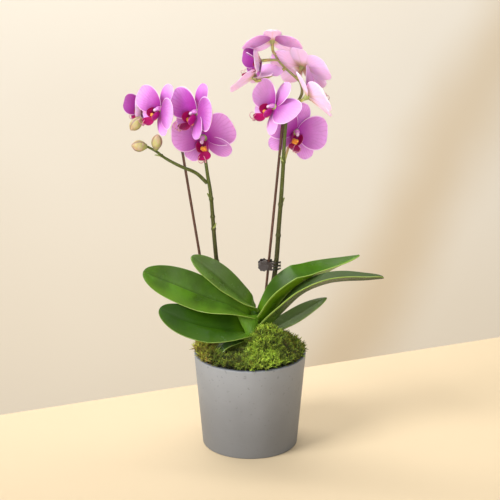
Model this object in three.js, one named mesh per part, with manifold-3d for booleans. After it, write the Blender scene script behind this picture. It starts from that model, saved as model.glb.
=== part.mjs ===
// A potted moth orchid: one leafy plant with two staked flower spikes, set in moss in a tapered grey pot.
// Units are millimetres. +X is to the right, +Y is away from the viewer and +Z is up.
// The origin is the centre of the pot's underside, on the surface that it stands on.
import * as THREE from "three";
import { mergeVertices } from "three/addons/utils/BufferGeometryUtils.js";
import Module from "manifold-3d";

const wasm = await Module();
wasm.setup();

// ---------- Driving dimensions ----------

const GAP = 0.3; // clearance between pieces that touch

const POT = { height: 112, topRadius: 65, baseRadius: 55.5, wall: 4.5, floor: 7, edge: 1.2, sides: 48 };
const MEDIUM_TOP = 98;
const MOSS = { rimLevel: 111, rise: 9, tufts: 40, seed: 20 };

const CROWN = {
  path: [[8, 8, 70], [8, 8, 115], [7, 8, 140], [5, 8, 161]],
  baseRadius: 9.5,
  tipRadius: 4,
  sheaths: 4,
};
const ROOTS = [
  [[8, 8, 84], [-14, 2, 72], [-26, -10, 40]],
  [[8, 8, 84], [28, 6, 70], [36, 18, 36]],
  [[8, 8, 80], [-4, 26, 64], [-14, 34, 36]],
  [[8, 8, 80], [12, -18, 64], [2, -32, 30]],
];
const ROOT_RADIUS = 2.8;

// Each leaf's keel from the crown to its tip, its half width as it lies, how wide its foot is as a share of
// that, where it is widest, how blunt its tip is, and at its foot, middle and tip the roll that raises its far
// edge and the fold that raises both edges, in degrees.
const LEAVES = {
  leaf_left_upper: {
    path: [
      [3, 7, 145], [-5, 2, 156], [-23, -2, 168], [-46, -6, 178], [-69, -9, 189], [-91, -10, 199],
      [-122, -6, 211],
    ],
    half: 22, foot: 0.32, peak: 0.58, tip: 0.52, roll: [20, 50, 56], fold: [34, 10, 8],
  },
  leaf_left_top: {
    path: [[4, 8, 157], [-3, 3, 168], [-16, 1, 181], [-32, -1, 197], [-48, -1, 212], [-67, 2, 227]],
    half: 15, foot: 0.4, peak: 0.56, tip: 0.55, roll: [25, 44, 42], fold: [40, 24, 14],
  },
  leaf_left_lower: {
    path: [[2, 5, 129], [-8, -4, 136], [-29, -15, 143], [-51, -23, 150], [-74, -28, 159], [-103, -30, 174]],
    half: 21, foot: 0.4, peak: 0.56, tip: 0.5, roll: [15, 46, 52], fold: [35, 8, 6],
  },
  leaf_right_upper: {
    path: [
      [11, 7, 139], [16, 5, 147], [27, 3.8, 159.5], [46, 3.2, 179.3], [67, 5, 193.8], [84, 8, 204.2],
      [126, 12, 225.2],
    ],
    half: 17.6, foot: 0.28, peak: 0.4, tip: 0.72, roll: [12, 8, 6], fold: [52, 52, 8],
  },
  leaf_right_lower: {
    path: [
      [9, 5, 126], [17.5, -5, 141.5], [35, -14, 165], [60, -19, 191], [87, -21, 203.3], [107, -21, 206.3],
      [130, -19, 206.3], [152.2, -16, 207.2],
    ],
    half: 13, foot: 0.35, peak: 0.5, tip: 0.5, roll: [0, 2, -4], fold: [40, 25, 34],
  },
  leaf_right_small: {
    path: [[9, 10, 121], [22, 14, 129], [37, 17, 138], [52, 20, 146], [70, 25, 156], [90, 30, 167]],
    half: 10.5, foot: 0.4, peak: 0.5, tip: 0.7, roll: [20, 32, 34], fold: [35, 16, 10],
  },
  leaf_left_stub: {
    path: [[5, 4, 122], [-8, -8, 130], [-24, -20, 132], [-36, -28, 126], [-41, -32, 112]],
    half: 9.5, foot: 0.4, peak: 0.55, tip: 0.6, roll: [0, 0, 0], fold: [20, -18, -18],
  },
};
const LEAF_THICKNESS = 2.4;

const SPIKE_LEFT = {
  path: [
    [5, 10, 126], [-9, 18, 141], [-23, 24, 161], [-32.5, 25, 184.5], [-37.5, 23, 206], [-40.7, 16, 242],
    [-42.6, 10, 273.6], [-44.6, 6, 300.6], [-47.7, 3, 322.5], [-50.3, 2, 342.5], [-53.5, 4, 361],
    [-59, 7, 378], [-69, 11, 393], [-83, 14, 400], [-98, 13, 398.4], [-110, 8, 393.4], [-117, 2.5, 390.7],
  ],
  baseRadius: 2.8, tipRadius: 1.2,
  joints: [0.3, 0.47],
  bracts: [{ at: 0.425, turn: -40, length: 9 }, { at: 0.535, turn: 160, length: 7 }],
};
const BRANCH_LEFT = {
  path: [
    [-48.6, 4, 313], [-60.6, 0, 325.6], [-78.3, -5, 335], [-94.6, -8, 345], [-104.5, -11, 353.5],
    [-113.9, -13.5, 359.5],
  ],
  baseRadius: 2.1, tipRadius: 1.3,
  bracts: [{ at: 0.76, turn: 200, length: 7 }],
};
const SPIKE_RIGHT = {
  path: [
    [8, 12, 138], [17, 16.5, 150], [25, 21, 179], [30, 17, 213], [33, 11, 261], [35, 6, 292],
    [37, 2, 328], [38.4, 0, 363], [40.5, 2, 385], [45, 7, 397], [53, 14, 404], [58, 18, 413],
    [56.5, 20, 424], [48, 17, 433.5], [38.5, 13, 443], [31, 9, 452], [26.5, 5, 461],
  ],
  baseRadius: 3, tipRadius: 1.2,
  joints: [0.33],
  bracts: [{ at: 0.44, turn: 30, length: 8 }, { at: 0.585, turn: 200, length: 8 }],
};
const BUDS = {
  bud_left_end: { at: [-120.1, -2.5, 389.4], along: [-13, -5, -13], length: 18, radius: 6.6 },
  bud_left_upper: { at: [-104.4, -12.2, 355.5], along: [2.5, -2.5, 18], length: 18, radius: 6.4 },
  bud_left_lower: { at: [-114.3, -13.6, 359.6], along: [-16, -4, 2], length: 17, radius: 6.7 },
};

// Each bloom's hub, where it faces (0 is the viewer, 90 the right, 180 away) with its pitch and its roll, its
// size, how far each tepal leans forward (dorsal sepal, right petal, right sepal, left sepal, left petal), and
// the spike that its stalk leaves, with the share of the spike's length there and how far behind the bloom the
// stalk swings. Angles are in degrees.
const BLOOMS = {
  bloom_left_1: bloom([-97.5, -17, 403], [-50, 4, 22], 0.9, [-6, 14, 8, 8, 28], ["left", 0.89, 8]),
  bloom_left_2: bloom([-57.5, -24, 400.6], [-51, 6, 11], 0.98, [-4, 11, 20, 12, 26], ["left", 0.78, 21]),
  bloom_left_3: bloom([-51.4, -7, 368.5], [-13, -13, -12], 1.05, [-8, -6, -1, -1, 0], ["left", 0.69, 8]),
  bloom_left_4: bloom([-119.4, 19, 395.6], [-59, 7, 3], 0.67, [15, 50, 15, 15, 46], ["left", 0.95, 8]),
  bloom_right_1: bloom([24.3, -3, 475.5], [180, 56, 0], 0.95, [-1, -16, -3, -3, -15], ["right", 0.995, 8]),
  bloom_right_2: bloom([12.5, -10, 455], [-60, 0, 0], 0.63, [62, 50, 30, 30, 42], ["right", 0.97, 8]),
  bloom_right_3: bloom([4.5, -1, 434.6], [-130, 48, 15], 0.91, [-25, -2, 5, 5, -7], ["right", 0.93, 3]),
  bloom_right_4: bloom([57.7, 20, 441.6], [155, 35, -5], 1.02, [-3, -7, -2, -2, -9], ["right", 0.88, 8]),
  bloom_right_5: bloom([62.6, -10, 414.6], [105, 30, -17], 1.03, [6, 36, 20, 20, 21], ["right", 0.8, 8]),
  bloom_right_6: bloom([27.6, -14, 404.5], [-57, 14, 23], 0.95, [-6, -14, 10, 10, 22], ["right", 0.74, 8]),
  bloom_right_7: bloom([51.5, 17, 368.6], [13, 4, 20], 1.02, [-7, 6, 0, 2, 8], ["right", 0.575, 8]),
};
const TEPAL_THICKNESS = 1.1;
const BLOOM_BACK = 5;
const SEPAL = { length: 33, half: 10.5, rise: 0.72, fall: 0.5 };
const PETAL = { length: 35, half: 19.5, rise: 0.6, fall: 0.4 };
const TEPALS = [
  { ...SEPAL, angle: 0, level: 0, cols: 2 },
  { ...PETAL, angle: 74, level: 1.1, cols: 4 },
  { ...SEPAL, angle: 134, level: 0, cols: 2 },
  { ...SEPAL, angle: -134, level: 0, cols: 2 },
  { ...PETAL, angle: -74, level: 1.1, cols: 4 },
];

const STAKES = {
  stake_left: { top: [-76.1, 3, 352], foot: [-33, 30, 52], radius: 1.5 },
  stake_right: { top: [36.6, 4.5, 384], foot: [7.3, 30, 52], radius: 1.5 },
};

// The clip's pivot, its knuckles and pin, and the arms that reach round the stake and the spike.
const CLIP = {
  pivot: [17.2, 16, 212],
  height: 10,
  knuckleRadius: 2.2,
  pinRadius: 0.8,
  coilRadius: 2.2,
  coilHeight: 2.4,
  reach: 18,
  bulge: 6.2,
  wall: 1.2,
  tooth: 1.5,
  frontTeeth: [-3.9, 0, 3.9],
  backTeeth: [-1.95, 1.95],
  tabRadius: 6.4,
  scallops: 9,
};

function bloom(at, [face, pitch, roll], size, tilt, from) {
  return { at, face, pitch, roll, size, tilt, from };
}

// ---------- Solids ----------

const vec = (p) => new THREE.Vector3(...p);
const lerp = THREE.MathUtils.lerp;
const radians = THREE.MathUtils.degToRad;

// The value at u of a quantity given at the foot, the middle and the tip.
function between([foot, middle, tip], u) {
  return u < 0.5 ? lerp(foot, middle, 2 * u) : lerp(middle, tip, 2 * u - 1);
}

// A closed geometry as a solid that can be joined and cut.
function solid(geometry) {
  const bare = geometry.clone();
  bare.deleteAttribute("normal");
  bare.deleteAttribute("uv");
  const merged = mergeVertices(bare, 1e-4);
  return new wasm.Manifold(
    new wasm.Mesh({
      numProp: 3,
      vertProperties: merged.attributes.position.array,
      triVerts: new Uint32Array(merged.index.array),
    }),
  );
}

// The solid as a geometry that a mesh can show.
function geometryOf(manifold) {
  const { vertProperties, triVerts, numProp, numVert } = manifold.getMesh();
  const positions = new Float32Array(numVert * 3);
  for (let i = 0; i < numVert; i++) positions.set(vertProperties.subarray(i * numProp, i * numProp + 3), i * 3);
  const geometry = new THREE.BufferGeometry();
  geometry.setAttribute("position", new THREE.BufferAttribute(positions, 3));
  geometry.setIndex(new THREE.BufferAttribute(triVerts, 1));
  const flat = geometry.toNonIndexed();
  flat.computeVertexNormals();
  return flat;
}

const fuse = (solids) => solids.reduce((sum, next) => sum.add(next));

const cut = (body, holes) => holes.reduce((left, hole) => left.subtract(hole), body);

// The largest body of a solid, without the scraps that a cut leaves.
function largest(manifold) {
  return manifold.decompose().reduce((most, next) => (next.volume() > most.volume() ? next : most));
}

// A small seeded generator, so that every run gives the same object.
function random(seed) {
  let state = seed;
  return () => {
    state = (state * 1664525 + 1013904223) % 4294967296;
    return state / 4294967296;
  };
}

function indexed(points, faces) {
  const geometry = new THREE.BufferGeometry();
  geometry.setAttribute("position", new THREE.Float32BufferAttribute(points.flatMap((p) => p.toArray()), 3));
  geometry.setIndex(faces.flat());
  return geometry;
}

// A curved leaf, petal or scale: spine(u) gives its middle line and frame, half(u) its half width, lift(u, v)
// how far it stands off the frame's plane, and thick(u, v) its thickness. Both faces meet in a thin rim.
function blade({ rows, cols, spine, half, lift, thick }) {
  const points = [];
  const rim = new Map();
  const put = (i, j, sign) => {
    const pole = i === 0 || i === rows;
    const key = pole ? `${i}` : `${i},${j}`;
    const edge = pole || j === 0 || j === cols;
    if (edge && rim.has(key)) return rim.get(key);
    const share = i / rows;
    const u = lerp(share, (1 - Math.cos(Math.PI * share)) / 2, 0.5);
    const v = pole ? 0 : (2 * j) / cols - 1;
    const { point, side, normal } = spine(u);
    const off = lift(u, v) + (edge ? 0 : (sign * thick(u, v)) / 2);
    points.push(point.clone().addScaledVector(side, pole ? 0 : half(u) * v).addScaledVector(normal, off));
    if (edge) rim.set(key, points.length - 1);
    return points.length - 1;
  };
  const grid = (sign) =>
    Array.from({ length: rows + 1 }, (_, i) => Array.from({ length: cols + 1 }, (_, j) => put(i, j, sign)));
  const faces = [];
  for (const [sheet, up] of [[grid(1), true], [grid(-1), false]])
    for (let i = 0; i < rows; i++)
      for (let j = 0; j < cols; j++) {
        const [a, b, c, d] = [sheet[i][j], sheet[i][j + 1], sheet[i + 1][j + 1], sheet[i + 1][j]];
        for (const [p, q, r] of [[a, b, c], [a, c, d]])
          if (p !== q && q !== r && p !== r) faces.push(up ? [p, q, r] : [p, r, q]);
      }
  const made = solid(indexed(points, faces));
  if (made.volume() > 0) return made;
  return solid(indexed(points, faces.map(([p, q, r]) => [p, r, q])));
}

// A round stem along a curve whose radius changes along it, closed at both ends.
function stem({ curve, radius, steps, sides }) {
  const frames = curve.computeFrenetFrames(steps, false);
  const points = [];
  const faces = [];
  for (let i = 0; i <= steps; i++) {
    const centre = curve.getPointAt(i / steps);
    for (let j = 0; j < sides; j++) {
      const turn = (2 * Math.PI * j) / sides;
      points.push(
        centre
          .clone()
          .addScaledVector(frames.normals[i], Math.cos(turn) * radius(i / steps))
          .addScaledVector(frames.binormals[i], Math.sin(turn) * radius(i / steps)),
      );
    }
  }
  for (let i = 0; i < steps; i++)
    for (let j = 0; j < sides; j++) {
      const [a, b] = [i * sides + j, i * sides + ((j + 1) % sides)];
      faces.push([a, b, b + sides], [a, b + sides, a + sides]);
    }
  const last = steps * sides;
  for (let j = 1; j < sides - 1; j++) faces.push([0, j + 1, j], [last, last + j, last + j + 1]);
  return solid(indexed(points, faces));
}

const throughPoints = (path) => new THREE.CatmullRomCurve3(path.map(vec), false, "centripetal");

function rod(from, to, radius, sides = 8) {
  return stem({ curve: new THREE.LineCurve3(vec(from), vec(to)), radius: () => radius, steps: 1, sides });
}

// A solid of revolution about Z from [radius, height] pairs that start and end on the axis, bottom first.
function turned(profile, sides) {
  const lathe = new THREE.LatheGeometry(profile.map(([r, h]) => new THREE.Vector2(r, h)), sides);
  return solid(lathe.rotateX(Math.PI / 2));
}

// ---------- Pot, growing medium and moss ----------

// The pot's inner radius at a height above its floor.
function innerRadius(z) {
  return lerp(POT.baseRadius, POT.topRadius, z / POT.height) - POT.wall;
}

function potSolid() {
  const { height, topRadius, baseRadius, wall, floor, edge, sides } = POT;
  const outside = [[0, 0], [baseRadius - edge, 0], [baseRadius, edge], [topRadius, height - edge]];
  const rim = [[topRadius - edge, height], [topRadius - wall + edge, height]];
  const inside = [[innerRadius(height - edge), height - edge], [innerRadius(floor), floor], [0, floor]];
  return turned([...outside, ...rim, ...inside], sides);
}

function mediumSolid(holes) {
  const foot = POT.floor + GAP;
  const body = turned(
    [[0, foot], [innerRadius(foot) - GAP, foot], [innerRadius(MEDIUM_TOP) - GAP, MEDIUM_TOP], [0, MEDIUM_TOP]],
    POT.sides,
  );
  return cut(body, holes);
}

// Height of the moss: a low dome, a taller hump in front of the crown, a hollow to its left, and fine lumps.
function mossHeight(x, y) {
  const dome = MOSS.rise * (1 - (x * x + y * y) / (60 * 60));
  const hump = 24 * Math.exp(-((x - 24) ** 2) / 600 - (y + 18) ** 2 / 260);
  const edge = 5 * Math.exp(-((x + 52) ** 2 + (y - 4) ** 2) / 260);
  const hollow = -5 * Math.exp(-((x + 16) ** 2 + (y + 30) ** 2) / 300);
  const lumps = 1.5 * Math.sin(0.36 * x + 1.1) * Math.cos(0.33 * y) + 1.1 * Math.sin(0.21 * x - 0.5 * y);
  return MOSS.rimLevel + dome + hump + edge + hollow + lumps;
}

function mossMound() {
  const rings = 7;
  const sides = POT.sides / 2;
  const outer = innerRadius(MEDIUM_TOP) - GAP;
  const foot = MEDIUM_TOP + GAP;
  const spot = (r, j, z) => {
    const turn = (2 * Math.PI * j) / sides;
    return new THREE.Vector3(r * Math.cos(turn), r * Math.sin(turn), z);
  };
  const points = [new THREE.Vector3(0, 0, mossHeight(0, 0))];
  for (let i = 1; i <= rings; i++)
    for (let j = 0; j < sides; j++) {
      const p = spot((outer * i) / rings, j, 0);
      const drop = i === rings ? 4 : 0;
      points.push(p.setZ(mossHeight(p.x, p.y) - drop));
    }
  for (let j = 0; j < sides; j++) points.push(spot(innerRadius(foot) - GAP, j, foot));
  points.push(new THREE.Vector3(0, 0, foot));
  const faces = [];
  const ring = (i, j) => 1 + (i - 1) * sides + (j % sides);
  const bottom = points.length - 1;
  for (let j = 0; j < sides; j++) {
    faces.push([0, ring(1, j), ring(1, j + 1)], [bottom, ring(rings + 1, j + 1), ring(rings + 1, j)]);
    for (let i = 1; i <= rings; i++)
      faces.push(
        [ring(i, j), ring(i + 1, j), ring(i + 1, j + 1)],
        [ring(i, j), ring(i + 1, j + 1), ring(i, j + 1)],
      );
  }
  return solid(indexed(points, faces));
}

// Pointed tufts that stand out of the mound.
function mossTufts() {
  const draw = random(MOSS.seed);
  return Array.from({ length: MOSS.tufts }, () => {
    const turn = 2 * Math.PI * draw();
    const r = 55 * Math.sqrt(draw());
    const foot = new THREE.Vector3(r * Math.cos(turn), r * Math.sin(turn), 0);
    foot.z = mossHeight(foot.x, foot.y) - 3;
    const tilt = new THREE.Vector3(draw() - 0.5 + foot.x / 150, draw() - 0.5 + foot.y / 150, 1.3).normalize();
    const tip = foot.clone().addScaledVector(tilt, 8 + 4 * draw());
    const curve = new THREE.LineCurve3(foot, tip);
    return stem({ curve, radius: (u) => lerp(2.6, 0.5, u), steps: 1, sides: 3 });
  });
}

// ---------- Leafy plant ----------

// The crown's stem, which swells where the leaf sheaths wrap it.
function crownSolid(extra = 0) {
  const { path, baseRadius, tipRadius, sheaths } = CROWN;
  return stem({
    curve: throughPoints(path),
    radius: (u) => lerp(baseRadius, tipRadius, u * u) + sheaths * Math.exp(-(((u - 0.68) / 0.14) ** 2)) + extra,
    steps: 10,
    sides: 10,
  });
}

function rootSolids(extra = 0) {
  const radius = (u) => ROOT_RADIUS * (1 - 0.45 * u) + extra;
  return ROOTS.map((path) => stem({ curve: throughPoints(path), radius, steps: 5, sides: 5 }));
}

// The frame along a leaf's midrib: its side points away from the viewer and is raised by the roll.
function leafSpine(path, roll) {
  const curve = throughPoints(path);
  const up = new THREE.Vector3(0, 0, 1);
  return (u) => {
    const point = curve.getPointAt(u);
    const along = curve.getTangentAt(u);
    const level = new THREE.Vector3().crossVectors(up, along).normalize();
    if (level.y < 0) level.negate();
    const over = new THREE.Vector3().crossVectors(along, level).normalize();
    if (over.z < 0) over.negate();
    const angle = radians(between(roll, u));
    const side = level.clone().multiplyScalar(Math.cos(angle)).addScaledVector(over, Math.sin(angle));
    const normal = over.multiplyScalar(Math.cos(angle)).addScaledVector(level, -Math.sin(angle));
    return { point, side, normal };
  };
}

// Half width of a leaf: a clasping foot, a broad blade and a blunt or pointed tip.
function leafHalf({ half, foot, peak, tip }) {
  return (u) => {
    const rise = foot + (1 - foot) * Math.sin((Math.PI / 2) * Math.min(1, u / peak));
    const past = Math.max(0, (u - peak) / (1 - peak));
    return half * rise * (1 - past ** 2) ** tip;
  };
}

function leafSolid(leaf, extra = 0) {
  const widths = leafHalf(leaf);
  const slope = (u) => Math.tan(radians(between(leaf.fold, u)));
  return blade({
    rows: 10,
    cols: 6,
    spine: leafSpine(leaf.path, leaf.roll),
    half: (u) => widths(u) + extra,
    lift: (u, v) => widths(u) * slope(u) * Math.abs(v) * (1.12 - 0.12 * Math.abs(v)),
    thick: (u, v) => LEAF_THICKNESS * (1.25 - 0.45 * Math.abs(v)) * lerp(1.5, 0.8, u) + 2 * extra,
  });
}

// ---------- Flower spikes and buds ----------

// A small pointed scale that clasps a spike.
function bractSolid(curve, { at, turn, length }) {
  const root = curve.getPointAt(at);
  const along = curve.getTangentAt(at);
  const across = new THREE.Vector3(1, 0, 0).addScaledVector(along, -along.x).normalize();
  const out = across.clone().applyAxisAngle(along, radians(turn));
  const side = new THREE.Vector3().crossVectors(out, along).normalize();
  return blade({
    rows: 4,
    cols: 2,
    spine: (u) => ({
      point: root.clone().addScaledVector(along, length * u).addScaledVector(out, 1.2 + 3.2 * u),
      side,
      normal: out,
    }),
    half: (u) => 2.6 * Math.sqrt(Math.max(0, 1 - u)) * Math.min(1, 0.4 + 3 * u),
    lift: (u, v) => -1.2 * v * v * (1 - u),
    thick: () => 1,
  });
}

function spikeSolids({ path, baseRadius, tipRadius, joints = [], bracts = [] }, steps) {
  const curve = throughPoints(path);
  const swell = (u) => joints.reduce((most, j) => Math.max(most, 0.7 * Math.exp(-(((u - j) / 0.006) ** 2))), 0);
  const shaft = stem({
    curve,
    radius: (u) => lerp(baseRadius, tipRadius, u ** 1.4) + swell(u),
    steps,
    sides: 6,
  });
  return [shaft, ...bracts.map((bract) => bractSolid(curve, bract))];
}

// The stalk from a spike to the back of a bloom or the foot of a bud.
function stalkSolid(from, to, arrive, reach, radius) {
  const lead = to.clone().addScaledVector(arrive, -reach);
  const curve = new THREE.CubicBezierCurve3(from, from.clone().lerp(lead, 0.5), lead, to);
  return stem({ curve, radius: (u) => radius * lerp(0.9, 1.1, u), steps: 4, sides: 5 });
}

function budSolid({ length, radius }) {
  const profile = [[0, 0], [0.5, 0.1], [0.9, 0.34], [1, 0.55], [0.78, 0.8], [0.36, 0.95], [0, 1]];
  return turned(profile.map(([r, h]) => [r * radius, h * length]), 8);
}

// ---------- Blooms ----------

// A tepal in the bloom's frame: +Y is up, +Z is where the bloom faces, angle turns it from up to the right, and
// tilt leans it forward.
function tepalSolid({ length, half, rise, fall, angle, level, cols }, tilt) {
  const turn = radians(angle);
  const flat = new THREE.Vector3(Math.sin(turn), Math.cos(turn), 0);
  const front = new THREE.Vector3(0, 0, 1);
  const side = new THREE.Vector3().crossVectors(flat, front);
  const out = flat.clone().applyAxisAngle(side, radians(tilt));
  const normal = new THREE.Vector3().crossVectors(side, out);
  const peak = rise / (rise + fall);
  const top = peak ** rise * (1 - peak) ** fall;
  return blade({
    rows: 5,
    cols,
    spine: (u) => ({ point: out.clone().multiplyScalar(1 + length * u), side, normal }),
    half: (u) => (half * u ** rise * (1 - u) ** fall) / top,
    lift: (u, v) => level + 2.4 * u * (1 - u) + 1.4 * v * v * u - 2 * u * u,
    thick: (u, v) => TEPAL_THICKNESS * (1 - 0.3 * v * v),
  });
}

// The pink piece of a bloom: three sepals behind two broad petals, the column and the swollen back.
function tepalsSolid(tilt) {
  const column = stem({
    curve: throughPoints([[0, 0.4, 0], [0, 0.8, 4], [0, -0.6, 8.4]]),
    radius: (u) => 1.9 + 0.9 * Math.sin(Math.PI * Math.min(1, u * 1.02)),
    steps: 3,
    sides: 5,
  });
  const back = stem({
    curve: new THREE.LineCurve3(vec([0, 0, 2]), vec([0, 0, -BLOOM_BACK])),
    radius: (u) => lerp(4.2, 1.6, u),
    steps: 1,
    sides: 6,
  });
  return fuse([...TEPALS.map((tepal, i) => tepalSolid(tepal, tilt[i])), column, back]);
}

// One lobe of the lip, from its foot along a direction, cupped towards its normal.
function lobeSolid({ foot, along, normal, length, half, rise, fall, curl }) {
  const out = vec(along).normalize();
  const face = vec(normal).addScaledVector(out, -vec(normal).dot(out)).normalize();
  const side = new THREE.Vector3().crossVectors(out, face);
  const peak = rise / (rise + fall);
  const top = peak ** rise * (1 - peak) ** fall;
  return blade({
    rows: 5,
    cols: 2,
    spine: (u) => ({ point: vec(foot).addScaledVector(out, length * u), side, normal: face }),
    half: (u) => (half * u ** rise * (1 - u) ** fall) / top,
    lift: (u, v) => curl * (u * u + 0.7 * v * v * u),
    thick: () => 1.3,
  });
}

// The crimson piece: two lobes that stand up round the column, a pointed middle lobe and its two tendrils.
function lipSolid() {
  const foot = [0, -5.2, 4.8];
  const sides = [1, -1].map((s) =>
    lobeSolid({
      foot, along: [0.72 * s, 0.3, 0.62], normal: [-0.8 * s, 0.3, 0.5],
      length: 11.5, half: 4.6, rise: 0.6, fall: 0.4, curl: 2.2,
    }),
  );
  const middle = lobeSolid({
    foot, along: [0, -0.62, 0.78], normal: [0, 0.78, 0.62],
    length: 13, half: 5.6, rise: 1.1, fall: 0.6, curl: 2,
  });
  const tendrils = [1, -1].map((s) => {
    const path = [[0, -10.6, 12.4], [1.6 * s, -12.6, 14.6], [3.6 * s, -11.6, 17], [3.8 * s, -8.8, 16.6]];
    return stem({ curve: throughPoints(path), radius: () => 0.5, steps: 4, sides: 3 });
  });
  const callus = stem({
    curve: new THREE.LineCurve3(vec([0, -6, 4]), vec([0, -5, 8.6])),
    radius: (u) => lerp(1.9, 1.1, u),
    steps: 1,
    sides: 5,
  });
  return fuse([...sides, middle, ...tendrils, callus]);
}

// The way that a bloom faces.
function facing({ face, pitch }) {
  const [turn, tilt] = [radians(face), radians(pitch)];
  return new THREE.Vector3(Math.sin(turn) * Math.cos(tilt), -Math.cos(turn) * Math.cos(tilt), Math.sin(tilt));
}

// The turn that stands a bloom's frame where it faces, with its roll clockwise as the bloom is looked at.
function bloomTurn(flower) {
  const out = facing(flower);
  const right = new THREE.Vector3().crossVectors(new THREE.Vector3(0, 0, 1), out).normalize();
  const up = new THREE.Vector3().crossVectors(out, right);
  const basis = new THREE.Matrix4().makeBasis(right, up, out);
  const roll = new THREE.Quaternion().setFromAxisAngle(new THREE.Vector3(0, 0, 1), -radians(flower.roll));
  return new THREE.Quaternion().setFromRotationMatrix(basis).multiply(roll);
}

// ---------- Clip ----------

// A disc or ring of the clip about its pin, between two heights.
function knuckle(radius, bore, low, high) {
  const profile = bore
    ? [[bore, low], [radius, low], [radius, high], [bore, high], [bore, low]]
    : [[0, low], [radius, low], [radius, high], [0, high]];
  return turned(profile, 12);
}

// A flat outline in X and Y, drawn up from one height to another.
function slab(outline, low, high) {
  const shape = new THREE.Shape(outline.map(([x, y]) => new THREE.Vector2(x, y)));
  const geometry = new THREE.ExtrudeGeometry(shape, { depth: high - low, bevelEnabled: false });
  return solid(geometry.translate(0, 0, low));
}

// A band of the clip's wall thickness along the jaw's curve, from one share of it to another.
function jawBand(from, to, low, high) {
  const { bulge, reach } = CLIP;
  const route = [[-3, 3.1, 0], [1, 3.6, 0], [4.5, 5.2, 0], [9, bulge, 0], [14.4, 4.9, 0], [reach, 0.7, 0]];
  const curve = throughPoints(route);
  const steps = Math.ceil(10 * (to - from));
  const outer = [];
  const inner = [];
  for (let i = 0; i <= steps; i++) {
    const u = lerp(from, to, i / steps);
    const point = curve.getPoint(u);
    const along = curve.getTangent(u);
    outer.push([point.x - (along.y * CLIP.wall) / 2, point.y + (along.x * CLIP.wall) / 2]);
    inner.unshift([point.x + (along.y * CLIP.wall) / 2, point.y - (along.x * CLIP.wall) / 2]);
  }
  return slab([...outer, ...inner], low, high);
}

// The scalloped grip of a jaw: a thin disc that stands across Y.
function gripSolid() {
  const points = 3 * CLIP.scallops;
  const outline = Array.from({ length: points }, (_, i) => {
    const turn = (2 * Math.PI * i) / points;
    const r = CLIP.tabRadius - 0.8 * (1 - Math.abs(Math.cos((turn * CLIP.scallops) / 2)));
    return [r * Math.cos(turn) - 1.8, r * Math.sin(turn)];
  });
  const shape = new THREE.Shape(outline.map(([x, y]) => new THREE.Vector2(x, y)));
  const geometry = new THREE.ExtrudeGeometry(shape, { depth: 1.4, bevelEnabled: false });
  return solid(geometry.rotateX(Math.PI / 2).translate(0, 5.7, 0));
}

// A jaw on the +Y side of the pin, with teeth at the given heights; webs join it to its knuckles.
function jawSolid(teeth, knuckles) {
  const half = CLIP.height / 2;
  const web = [[-1.5, 1.9], [1.5, 1.9], [1.5, 3.6], [-1.5, 3.3]];
  const webs = knuckles.map(([low, high]) => slab(web, low, high));
  const fingers = teeth.map((z) => jawBand(0.4, 1, z - CLIP.tooth / 2, z + CLIP.tooth / 2));
  return fuse([jawBand(0, 0.5, -half, half), gripSolid(), ...webs, ...fingers]);
}

function clipSolids() {
  const half = CLIP.height / 2;
  const front = [[-half, -2.9], [2.9, half]];
  const back = [[-2.6, -1.5], [1.5, 2.6]];
  const mirrored = jawSolid(CLIP.frontTeeth, front).mirror([0, 1, 0]);
  const pin = knuckle(CLIP.pinRadius, 0, -half, half);
  const bore = CLIP.pinRadius + GAP;
  const rounds = (spans, hole) => spans.map(([low, high]) => knuckle(CLIP.knuckleRadius, hole, low, high));
  return {
    clip_jaw_front: fuse([mirrored, pin, ...rounds(front, 0)]),
    clip_jaw_back: fuse([jawSolid(CLIP.backTeeth, back), ...rounds(back, bore)]),
    clip_spring: knuckle(CLIP.coilRadius, bore, -CLIP.coilHeight / 2, CLIP.coilHeight / 2),
  };
}

// ---------- Assembly ----------

const material = (color, roughness) => new THREE.MeshStandardMaterial({ color, roughness, metalness: 0 });
const MATERIALS = {
  pot: material(0x8f8d8b, 0.6),
  medium: material(0x4a3424, 0.95),
  moss: material(0x5c7f1e, 0.95),
  leaf: material(0x3c7a22, 0.35),
  crown: material(0x4f7f2c, 0.5),
  stem: material(0x5f7440, 0.5),
  petal: material(0xdf7fe0, 0.55),
  lip: material(0xa3093f, 0.45),
  bud: material(0xc6b56c, 0.55),
  stake: material(0x5d3a2c, 0.7),
  clip: material(0x4c4145, 0.35),
};

const orchid = new THREE.Group();

function add(name, manifold, finish, parent = orchid) {
  const mesh = new THREE.Mesh(geometryOf(manifold), MATERIALS[finish]);
  mesh.name = name;
  parent.add(mesh);
  return mesh;
}

const stakes = Object.entries(STAKES).map(([name, { top, foot, radius }]) => ({
  name,
  body: rod(foot, top, radius),
  hole: rod(foot, top, radius + GAP),
}));
const stakeHoles = stakes.map((stake) => stake.hole);
const mediumHoles = [crownSolid(GAP), ...rootSolids(GAP), ...stakeHoles];
const lowLeaves = [LEAVES.leaf_left_stub, LEAVES.leaf_right_small];
const mossHoles = [crownSolid(GAP), ...stakeHoles, ...lowLeaves.map((leaf) => leafSolid(leaf, GAP))];

add("pot", potSolid(), "pot");
add("growing_medium", mediumSolid(mediumHoles), "medium");
add("moss", largest(cut(fuse([mossMound(), ...mossTufts()]), mossHoles)), "moss");
add("crown", fuse([crownSolid(), ...rootSolids()]), "crown");
for (const [name, leaf] of Object.entries(LEAVES))
  add(name, largest(cut(leafSolid(leaf), [crownSolid(GAP)])), "leaf");
for (const { name, body } of stakes) add(name, body, "stake");

const spikes = {
  left: [...spikeSolids(SPIKE_LEFT, 36), ...spikeSolids(BRANCH_LEFT, 10)],
  right: spikeSolids(SPIKE_RIGHT, 36),
};
const curves = { left: throughPoints(SPIKE_LEFT.path), right: throughPoints(SPIKE_RIGHT.path) };

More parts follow.
